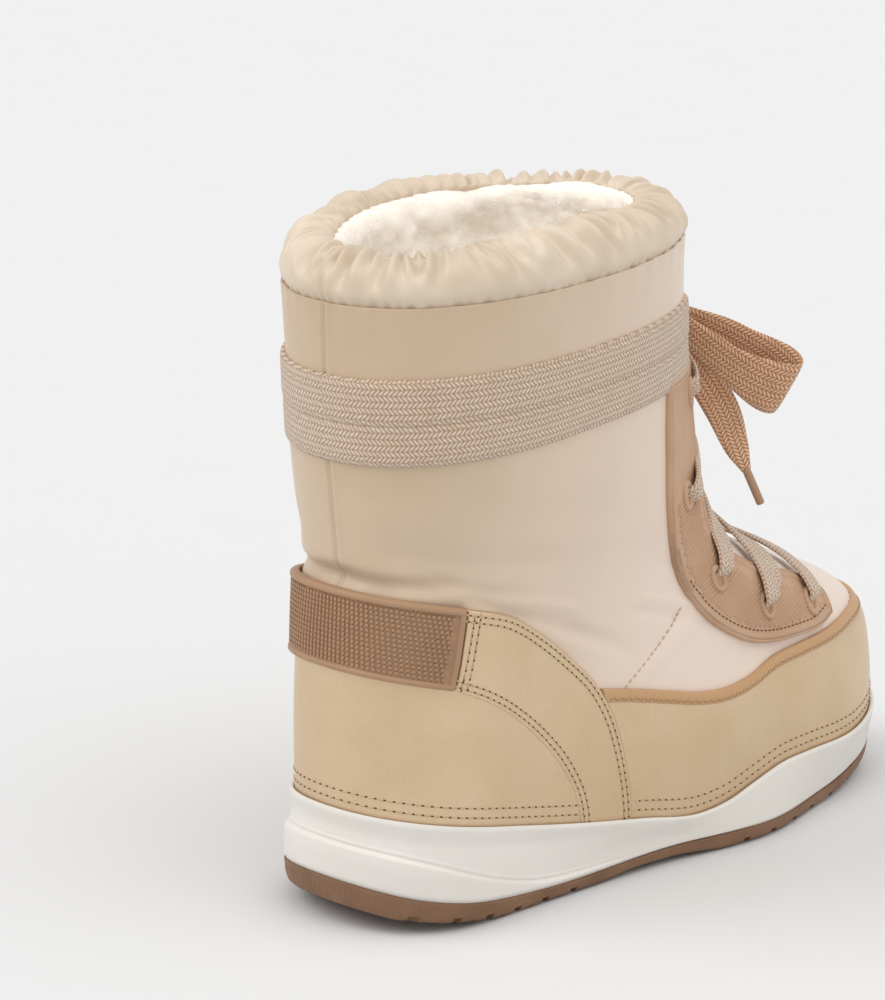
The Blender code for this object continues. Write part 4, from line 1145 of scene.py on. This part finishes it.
def make_tape():
    """Grosgrain tape with its zigzag."""
    near, far = rand_sides()
    around = np.linspace(near[0, 0] - 0.004, far[0, 0] + 0.004, 420)
    low = level(around, lambda x: tape_z(x) - TAPE_WIDTH, 0, 6)
    high = level(around, tape_z, 0, 6)
    rows = [upper(around, low*(1 - t) + high*t, out + (GAP if out > 0 else 0)) for t, out in TAPE_SECTION]
    run = arc_length(rows[0])
    uv = [np.stack([run, np.full(len(run), t*TAPE_WIDTH)], -1) for t, _ in TAPE_SECTION]
    count = len(around)
    faces = [tuple(f) for f in grid_faces(len(rows), count, wrap_rows=True)]
    faces.append(tuple(k*count for k in range(len(rows))))
    faces.append(tuple((k + 1)*count - 1 for k in range(len(rows)))[::-1])
    tape = piece("rand_tape_grosgrain", np.concatenate(rows), faces, "tape", uv=np.concatenate(uv))
    dress(tape, "grosgrain_tape", "rand_tape")
    mid = np.stack([around[3:-3], (low*0.68 + high*0.32)[3:-3]], -1)
    c, h, n = stitch_places(mid, 1.6 + GAP, 1.9)
    lean = np.where(np.arange(len(c)) % 2 == 0, 1, -1)[:, None]
    zig = unit(h + 0.75*lean*np.cross(n, h))
    dress(repeated("tape_zigzag", capsule(2.0, 0.26), c, zig, n, "tape_thread"), "grosgrain_tape")


def make_panels():
    rows = []
    make_wings(rows)
    make_counter(rows)
    make_rand(rows)
    make_tape()
    c, h, n, holes = (np.concatenate(v) for v in zip(*rows))
    dress(repeated("panel_stitches", capsule(2.7, 0.42), c, h, n, "thread"), "metallic_leather")
    # dark dashes of painted shadow between the stitches, in the needle holes
    dress(repeated("panel_needle_holes", capsule(1.0, 0.34), holes, h, n, "painted_shadow"), "metallic_leather")


STUD_PITCH, STUD_ROWS = 1.82, 14
STUD_SECTION = ((0.62, 0.0), (0.5559, 0.525), (0.47, 0.75))     # half side and height


def make_strap():
    top = lambda x: rise(STRAP_TOP, x)
    low = lambda x: rise(STRAP_BOTTOM, x)
    ends = np.array([(STRAP_END[0][0], top(STRAP_END[0][0])), (STRAP_END[1][0], low(STRAP_END[1][0]))])
    (al, _), (bl, _) = locate(ends, 1)
    (ar, _), (br, _) = locate(ends, -1)
    high_a, low_a = np.linspace(al, ar - 2, 120), np.linspace(br - 2, bl, 120)
    high = np.stack([high_a, level(high_a, top, 4, 8)], -1)
    under = np.stack([low_a, level(low_a, low, 3, 8)], -1)
    face = OVERLAY + 2*GAP + STRAP_THICK
    profile = [(0.0, 1.2), (0.10, face - 1.3), (0.35, face - 0.5), (0.8, face - 0.1), (1.25, face),
               (STRAP_FRAME - 0.5, face), (STRAP_FRAME - 0.1, face - 0.25),
               (STRAP_FRAME + 0.15, face - STRAP_RECESS)]
    strap = patch("heel_strap_rubber", np.concatenate([high, under]), profile, "strap",
                  gap=2.0, edge_gap=0.9, under=1.0)
    dress(strap, "tan_rubber", "heel_strap")
    # waffle of square studs
    centre_a = np.linspace(al, ar - 2.0, 400)[::-1]
    inset = STRAP_FRAME + 1.3
    run = arc_length(section_surface(centre_a, level(centre_a, lambda x: (top(x) + low(x))/2, 3, 8)))
    col_a = np.interp(np.arange(inset + 0.6, run[-1] - inset + 0.4, STUD_PITCH), run, centre_a)
    places, headings = [], []
    for k in range(STUD_ROWS):
        t = (k + 0.5)/STUD_ROWS
        u = level(col_a, lambda x: (low(x) + inset - 0.6)*(1 - t) + (top(x) - inset + 0.6)*t, 3, 8)
        places.append(np.stack([col_a, u], -1))
        headings.append(np.gradient(section_surface(col_a, u), axis=0))
    q, headings = np.concatenate(places), np.concatenate(headings)
    # the studs keep clear of the slanting end bars
    p = section_surface(q[:, 0], q[:, 1])
    (x0, z0), (x1, z1) = ends
    bar = (p[:, 0] - x1)*(z0 - z1) - (p[:, 2] - z1)*(x0 - x1)
    clear = bar/np.hypot(x0 - x1, z0 - z1) < -(inset - 0.3)
    q, headings = q[clear], headings[clear]
    c, n = upper(q[:, 0], q[:, 1], face - STRAP_RECESS - 0.1), normals(q[:, 0], q[:, 1])
    square = ((-1, -1), (1, -1), (1, 1), (-1, 1))
    corners = [(x*half, y*half, z) for half, z in STUD_SECTION for x, y in square]
    faces = [(0, 3, 2, 1), (8, 9, 10, 11)] + [tuple(f) for f in grid_faces(3, 4, wrap_cols=True)]
    studs = repeated("heel_strap_studs", (np.array(corners), faces), c, headings, n, "strap", smooth=False)
    dress(studs, "tan_rubber")


# An eyelet's boss and slot: height, then the rim's width and height against EYELET_HALF
EYELET_RINGS = ((-0.6, 0.55, 0.9), (0.0, 0.5, 0.85), (0.65, 0.3, 0.6), (EYELET_RISE, -0.25, 0.0),
                (EYELET_RISE + 0.05, -0.9, -0.8), (EYELET_RISE - 0.3, -1.5, -1.5), (-0.5, -1.8, -1.8),
                (-2.2, -1.9, -1.9))
EYELET_SIDES = 32


def eyelet_mesh(around, up, turned, out):
    """Oval boss with its slot."""
    around, up = np.array([around]), np.array([up])
    foot, n = upper(around, up, out)[0], normals(around, up)[0]
    a = unit(np.cross([0, 0, 1.0], n))
    b = np.cross(n, a)
    c, s = math.cos(math.radians(turned)), math.sin(math.radians(turned))
    a, b = a*c + b*s, b*c - a*s
    ring = np.arange(EYELET_SIDES)*math.tau/EYELET_SIDES
    wide, tall = EYELET_HALF
    rings = [foot + n*h + np.outer(np.cos(ring)*(wide + w), a) + np.outer(np.sin(ring)*(tall + t), b)
             for h, w, t in EYELET_RINGS]
    faces = [tuple(f) for f in grid_faces(len(rings), EYELET_SIDES, wrap_cols=True)]
    faces.append(tuple((len(rings) - 1)*EYELET_SIDES + k for k in range(EYELET_SIDES)))
    faces.append(tuple(range(EYELET_SIDES))[::-1])
    return np.concatenate(rings), faces


def stay_border(side):
    """The eyestay's border, cut off 3 mm up under the lace round the shaft."""
    pts = np.concatenate([smooth_line(STAY_BACK), smooth_line(STAY_FRONT)])
    pts[:, 1] = np.minimum(pts[:, 1], rise(WRAP_BOTTOM, pts[:, 0]) + 3.0)
    keep = np.concatenate([[True], np.linalg.norm(np.diff(pts, axis=0), axis=1) > 0.15])
    return locate(pts[keep], side)


RIB_COUNT, RIB_PITCH, RIB_RADIUS = 66, 1.75, 0.38
RIB_START, RIB_WAY = (-22.0, 34.0), (0.93, 0.37)        # lowest rib's side-view start and way
RIB_CLEAR, RIB_TOP = 5.4, 139                           # room to the border, and the highest z


def stay_ribs(border, side, out):
    """Ribs that rise forward over the stay's field below the second eyelet."""
    ribs = []
    edge = section_surface(border[:, 0], border[:, 1])[:, [0, 2]]
    for k in range(RIB_COUNT):
        start = np.array(RIB_START) + (0, k*RIB_PITCH)
        q = locate(start + np.outer(np.linspace(0, 112, 75), unit(np.array([RIB_WAY]))[0]), side)
        p = section_surface(q[:, 0], q[:, 1])[:, [0, 2]]
        room = np.sqrt(((p[:, None] - edge[None])**2).sum(-1)).min(1)
        shown = inside(p, edge) & (room > RIB_CLEAR) & (p[:, 1] < RIB_TOP)
        runs = np.flatnonzero(np.diff(np.concatenate([[0], shown.astype(int), [0]])))
        for a, b in zip(runs[::2], runs[1::2]):
            if b - a > 2:
                ribs.append(tube(upper(q[a:b, 0], q[a:b, 1], out), RIB_RADIUS, 5))
    return ribs


def make_stays():
    rows, eyelets, ribs = [], [], []
    top = STAY_THICK + GAP
    profile = [(0.0, -0.35), (0.12, 0.8), (0.45, top - 0.3), (0.8, top), (1.2, top), (1.5, top - 0.6),
               (1.8, top), (3.4, top), (3.8, top - 0.6), (4.3, top - 0.65)]
    for side, word in ((1, "lateral"), (-1, "medial")):
        border = stay_border(side)
        stay = patch("eyestay_" + word + "_rubber", border, profile, "stay", gap=2.0, edge_gap=1.0)
        dress(stay, "tan_rubber", "eyestay_" + word)
        back = locate(smooth_line(STAY_BACK), side)
        row = beside(back[back[:, 1] > 0][58:], side*5.0)
        rows.append(stitch_places(row, top - 0.6, 2.4))
        for around, up, turned in EYELETS:
            eyelets.append(eyelet_mesh(around if side > 0 else 2 - around, up, turned*side, top - 0.5))
        ribs += stay_ribs(border, side, top - 0.62)
    dress(piece("eyelets_rubber", *joined(eyelets), "stay"), "tan_rubber")
    dress(piece("eyestay_ribs", *joined(ribs), "stay"), "tan_rubber")
    c, h, n = (np.concatenate(v) for v in zip(*rows))
    # the eyestay's stitches are drawn in the dark needle-hole shadow colour: painted shade
    dress(repeated("eyestay_stitches", capsule(1.8, 0.28), c, h, n, "painted_shadow"), "tan_rubber")


# Lace

def ribbon(path, wide, deep, width, thick, steps=8):
    """Points, faces and UV (mm along, mm across) of a flat braid with round edges."""
    path, wide, deep = (np.asarray(q, float) for q in (path, wide, deep))
    width = np.broadcast_to(np.asarray(width, float), (len(path),))
    run = arc_length(path)
    across_way = np.linspace(-1, 1, steps + 1)
    swell = (1 - np.abs(across_way)**5)**0.5*0.5
    swell[0] = swell[-1] = 0.12
    ring = list(zip(across_way, swell)) + list(zip(across_way[::-1], -swell[::-1]))
    pts = np.stack([path + wide*(x*width/2)[:, None] + deep*h*thick for x, h in ring], 1)
    uv = np.stack([np.stack([run, x*width/2 + 20], -1) for x, _ in ring], 1)
    count = len(ring)
    faces = [tuple(f) for f in grid_faces(len(path), count, wrap_cols=True)]
    faces += [tuple(range(count))[::-1], tuple((len(path) - 1)*count + k for k in range(count))]
    return pts.reshape(-1, 3), faces, uv.reshape(-1, 2)


def ribbon_piece(name, parts, finish):
    pts, faces = joined([(p, f) for p, f, _ in parts])
    made = piece(name, pts, faces, finish, uv=np.concatenate([u for _, _, u in parts]))
    volume = sum(Vector(f.center).dot(f.normal)*f.area for f in made.data.polygons)
    if volume < 0:
        made.data.flip_normals()
    return made


def wrap_band(name, node_name, under, over, lift):
    """One turn of lace round the shaft, between two side-view lines."""
    around = np.linspace(0, 2, 860, endpoint=False)
    u0, u1 = level(around, under, 8, TOP_ROW), level(around, over, 8, TOP_ROW)
    edge = section_surface(around, u0)
    run = arc_length(edge)
    scallop = 0.024*np.abs(np.sin(math.pi*run/2.2))
    u0, u1 = u0 - scallop, u1 + scallop
    total = run[-1] + np.linalg.norm(edge[0] - edge[-1])
    width = np.linalg.norm(section_surface(around, u1) - edge, axis=1).mean()
    share = np.linspace(0, 1, 19)
    swell = LACE_THICK*(0.35 + 0.65*(1 - np.abs(2*share - 1)**6)**0.5) + lift
    section = [(t, GAP*0.3 + h) for t, h in zip(share, swell)] + [(1.0, -0.2), (0.5, -0.2), (0.0, -0.2)]
    rows, uv = [], []
    for t, out in section:
        # the band closes on itself by a repeated column at the back seam
        row = upper(around, u0*(1 - t) + u1*t, out)
        rows.append(np.concatenate([row, row[:1]]))
        uv.append(np.stack([np.append(run, total), np.full(len(run) + 1, t*width)], -1))
    faces = grid_faces(len(rows), len(around) + 1, wrap_rows=True)
    made = piece(name, np.concatenate(rows), faces, "lace", uv=np.concatenate(uv))
    weld = made.modifiers.new("weld", "WELD")
    weld.merge_threshold = 1e-6
    dress(finished(made), "woven_lace", node_name)


def make_wraps():
    top = lambda x: rise(WRAP_TOP, x) - 3.0*ease((x + 2)/20)
    low = lambda x: rise(WRAP_BOTTOM, x)
    mid = lambda x: (rise(WRAP_TOP, x) + low(x))/2
    wrap_band("lace_wrap_upper_braid", "lace_wrap_upper", lambda x: mid(x) - 0.4, top, 0.35)
    wrap_band("lace_wrap_lower_braid", "lace_wrap_lower", low, lambda x: mid(x) + 0.2, 0.0)


def upper_tree():
    around, up = np.meshgrid(np.arange(160)*2.0/160, np.linspace(0, TOP_ROW, 150))
    pts = section_surface(around, up).reshape(-1, 3)
    faces = [tuple(int(i) for i in f) for f in grid_faces(150, 160, wrap_cols=True)]
    return BVHTree.FromPolygons([Vector(p) for p in pts], faces)


def crossing(tree, start, end, aim, lift):
    """A lace out of one eyelet's slot, over the tongue and in under the stay of the other side."""
    ends = [section_surface(np.array(q[0]), np.array(q[1])) for q in (start, end)]
    faces = [normals(np.array(q[0]), np.array(q[1])) for q in (start, end)]
    aim = unit(np.array(aim, float))
    pts, nrm = [], []
    for t in np.linspace(0, 1, 70):
        way = unit(faces[0]*(1 - t)**2 + aim*3.0*t*(1 - t) + faces[1]*t**2)
        hit, normal, _, _ = tree.ray_cast(Vector(ends[0]*(1 - t) + ends[1]*t - way*0.5), Vector(way))
        if hit is None:
            continue
        normal = np.array(normal)
        pts.append(np.array(hit))
        nrm.append(normal if normal @ way > 0 else -normal)
    pts, nrm = np.array(pts), np.array(nrm)
    for _ in range(16):
        nrm[1:-1] = (nrm[:-2] + nrm[1:-1] + nrm[2:])/3
        pts[1:-1] = (pts[:-2] + 2*pts[1:-1] + pts[2:])/4
    nrm = unit(nrm)
    s = arc_length(pts)
    left = s[-1] - s
    out = (-1.2 + 5.4*ease(s/4.5) + (lift - 4.2)*ease((s - 6)/12))*ease(left/14) - 1.6*(1 - ease(left/14))
    pts = pts + nrm*out[:, None]
    tangent = unit(np.gradient(pts, axis=0))
    wide = unit(np.cross(tangent, nrm))
    return pts, wide, np.cross(wide, tangent), LACE_WIDTH*(0.8 + 0.2*ease(s/6.0))


def make_crossings():
    tree = upper_tree()
    parts = []
    for k in range(4):
        over, under = EYELETS[k][:2], EYELETS[k + 1][:2]
        pairs = ((under, (2 - over[0], over[1])), ((2 - under[0], under[1]), over))
        for j, (start, end) in enumerate(pairs):
            lift = (2.0 if k < 2 else 3.6) - 1.2*j
            start = (start[0], start[1] - 0.12)
            parts.append(ribbon(*crossing(tree, start, end, AIMS[k], lift), LACE_THICK*1.25))
    # the top pair of eyelets sends its lace up to the knot
    for start, end in ((EYELETS[0][:2], (1.13, 10.8)), ((2 - EYELETS[0][0], EYELETS[0][1]), (0.87, 10.8))):
        parts.append(ribbon(*crossing(tree, start, end, AIMS[0], 2.6), LACE_THICK*1.25))
    dress(ribbon_piece("lace_crossings_braid", parts, "lace"), "woven_lace", "lace_crossings")


def make_knot(knot):
    """The two turns of lace pulled tight round each other."""
    parts = []
    for tilt, grow in ((0.5, 1.0), (-0.5, 0.86)):
        angle = np.linspace(0, math.tau, 40)
        ring = np.stack([4.4*grow*np.cos(angle), 6.4*grow*np.sin(angle), 3.0*tilt*np.sin(angle)*2], -1)
        path = knot + ring
        tangent = unit(np.gradient(path, axis=0))
        outward = unit(ring)
        parts.append(ribbon(path, unit(np.cross(tangent, outward)), outward, 8.0, 2.2))
    return dress(ribbon_piece("lace_knot_braid", parts, "bow"), "woven_lace", "lace_knot")


def make_bow():
    knot = np.array(KNOT)
    tied = make_knot(knot)
    head = np.array([math.cos(BOW_TURN), -math.sin(BOW_TURN), 0])
    up = np.array([0, 0, 1.0])
    run = head*math.cos(BOW_DROP) - up*math.sin(BOW_DROP)
    wide = head*math.sin(BOW_DROP) + up*math.cos(BOW_DROP)
    deep = np.cross(run, wide)
    turn = np.linspace(0.16, math.tau - 0.16, 64)
    reach = (1 - np.cos(turn))/2
    spread = BOW_OPEN*np.sin(turn)*(0.25 + 0.9*reach**0.6)
    loop = head*BOW_START - up*3.0 + np.outer(reach*BOW_LENGTH, run)
    loop = loop + np.outer(spread, deep - wide*BOW_SHEAR)
    loop_width = 7.5 + 6.0*ease(reach*2.0) + 8.5*ease((reach - 0.5)/0.5)
    s = np.linspace(0, len(TAIL) - 1, 48)
    rows = hermite(np.arange(len(TAIL)), TAIL, s)
    tail = np.outer(rows[:, 0], head) + np.outer(rows[:, 1], up)
    for side, sign in (("lateral", 1), ("medial", -1)):
        mirror = np.array([1, sign, 1])
        path = knot + loop*mirror
        tangent = unit(np.gradient(path, axis=0))
        flat_dir = np.broadcast_to(wide*mirror, path.shape)
        braid = ribbon(path, flat_dir, unit(np.cross(flat_dir, tangent)), loop_width, LACE_THICK, steps=12)
        made = dress(ribbon_piece("bow_loop_" + side, [braid], "bow"), "woven_lace", "lace_loop_" + side)
        path = knot + tail*mirror
        tangent = unit(np.gradient(path, axis=0))
        flat_dir = unit(np.cross(tangent, np.array([0.55, 0.83*sign, 0])))
        braid = ribbon(path, flat_dir, np.cross(flat_dir, tangent), rows[:, 2], LACE_THICK)
        made = ribbon_piece("lace_end_" + side + "_braid", [braid], "bow")
        dress(made, "woven_lace", "lace_end_" + side)
        at = np.array([0, 0.6, 1.2, 2.5, AGLET_LENGTH - 1.2, AGLET_LENGTH - 0.3, AGLET_LENGTH])
        radius = np.array([0.7, 0.96, 1.0, 1.0, 1.0, 0.9, 0.55])*AGLET_RADIUS
        tip = tube(path[-1] - tangent[-1] + np.outer(at, tangent[-1]), radius, 16)
        tip = dress(piece("aglet_" + side + "_tip", *tip, "aglet"), "aglet_plastic", "aglet_" + side)


# Sole

# The outsole's rings: inset, share of the height from tread to joint, and share of the fluting
GUM_RINGS = ((5.0, 0.0, 0), (3.2, 0.02, 0), (1.6, 0.12, 0.4), (0.9, 0.26, 1), (0.3, 0.5, 1),
             (0.15, 0.78, 1), (0.0, 0.86, 0), (0.0, 0.98, 0), (0.4, 1.0, 0))
BOX_FACES = [(0, 1, 3, 2), (4, 6, 7, 5), (0, 4, 5, 1), (2, 3, 7, 6), (0, 2, 6, 4), (1, 5, 7, 3)]


def slot_boxes():
    """Boxes that cut the lugs: x from and to, top, half width and middle."""
    slots = []
    for cx in SLOTS_X:
        slots.append((cx - LUG_SLOT/2, cx + LUG_SLOT/2, float(tread(np.array(cx))) + LUG_DEPTH, 90.0, 0.0))
    for cx in NOTCHES_X:
        top = float(tread(np.array(cx))) + NOTCH_DEPTH
        slots.append((cx - NOTCH_WIDTH/2, cx + NOTCH_WIDTH/2, top, 90.0, 0.0))
    for x0, x1 in CHANNELS:
        slots.append((x0, x1, LUG_DEPTH, CHANNEL_WIDTH/2, 1.0))
    return slots


def make_sole():
    count = 900
    ring = np.arange(count)*2.0/count
    p = outline(ring)
    t = unit(np.roll(p, -1, 0) - np.roll(p, 1, 0))
    outward = np.stack([-t[:, 1], t[:, 0]], -1)
    flute = 0.32*np.abs(np.sin(np.pi*arc_length(p)/2.3))*ease((-52 - p[:, 0])/22)
    rings = []
    for inset, share, fluted in GUM_RINGS:
        q = outline(ring, inset) + outward*(flute*fluted)[:, None]
        rings.append(np.column_stack([q, tread(q[:, 0])*(1 - share) + joint(q[:, 0])*share]))
    sole = piece("outsole_gum", np.concatenate(rings), ring_faces(len(rings), count), "gum")
    cutters = bpy.data.collections.new("lug_slots")
    for k, (x0, x1, top, reach, centre) in enumerate(slot_boxes()):
        corners = [(x, centre + side*reach, z) for x in (x0, x1) for side in (-1, 1) for z in (-6, top)]
        made = piece("slot_%d" % k, corners, BOX_FACES, "gum", smooth=False)
        bpy.context.scene.collection.objects.unlink(made)
        cutters.objects.link(made)
    cut = sole.modifiers.new("lugs", "BOOLEAN")
    cut.operation, cut.solver = "DIFFERENCE", "EXACT"
    cut.operand_type, cut.collection = "COLLECTION", cutters
    finished(sole)
    for made in list(cutters.objects):
        bpy.data.objects.remove(made)
    sole.data.set_sharp_from_angle(angle=math.radians(38))
    dress(sole, "gum_rubber", "outsole")


def make_midsole():
    count = 620
    ring = np.arange(count)*2.0/count
    rim_row = level(ring, feather, 0, 3)
    rim = section_surface(ring, rim_row)
    side = flat(normals(ring, rim_row))
    x = outline(ring)[:, 0]
    step = 0.52 - 0.40*ease((x + 142)/75)
    deep = 1.7*(1 - ease((x + 75)/50))
    fore = ease((x + 30)/60)
    rings = []
    levels = np.concatenate([[0.0, 0.012, 0.03, 0.06], np.linspace(0.09, 0.90, 44),
                             [0.93, 0.96, 0.98, 0.993, 1.0]])
    for share in levels:
        t = np.full(count, share)
        round_low = 0.8*(1 - ease(share/0.06))
        low = outline(ring, float(round_low))
        over = ease((t - step + 0.02)/0.04)                 # above the swept step
        ridge = 0.45*np.exp(-((t - step - 0.05)/0.018)**2)*np.clip(deep/1.7, 0, 1)
        fade = 1 - ease((t - 0.7)/0.3)
        lean = ease((t - 0.30)/0.70)*(1 - fore) + t*fore
        lip = rim[:, :2] + side[:, :2]*(CUP_CLEAR + RIM - (0.45*ease((share - 0.95)/0.05)))
        xy = low*(1 - lean[:, None]) + lip*lean[:, None]
        xy = xy - side[:, :2]*((deep*over*fade - ridge)[:, None])
        z = (joint(low[:, 0]) + GAP*0.3)*(1 - t) + (feather(rim[:, 0]))*t
        rings.append(np.column_stack([xy, z]))
    for inward, drop in ((2.9, -0.15), (2.1, 0.05), (1.8, 0.6), (1.8, 3.0)):
        q = rim + side*inward
        rings.append(np.column_stack([q[:, :2], feather(rim[:, 0]) - drop]))
    floor = section_surface(ring, 0*ring)
    foot = floor + flat(normals(ring, 0*ring))*0.4
    foot[:, 2] = footbed(foot[:, 0])
    rings.append(foot)
    cup = piece("midsole_foam_cup", np.concatenate(rings), ring_faces(len(rings), count), "foam")
    dress(cup, "midsole_foam", "midsole")


make_camera()
make_bow()
make_stage()
make_sole()
make_midsole()
make_shaft()
make_collar()
make_lining()
make_panels()
make_strap()
make_stays()
make_wraps()
make_crossings()
insole = frame["nodes"]["insole"]
insole.data.materials.clear()
insole.data.materials.append(MAT["fleece"])

low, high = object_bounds()
{"cad": [list(cad_low), list(cad_high)], "visual": [list(low), list(high)]}
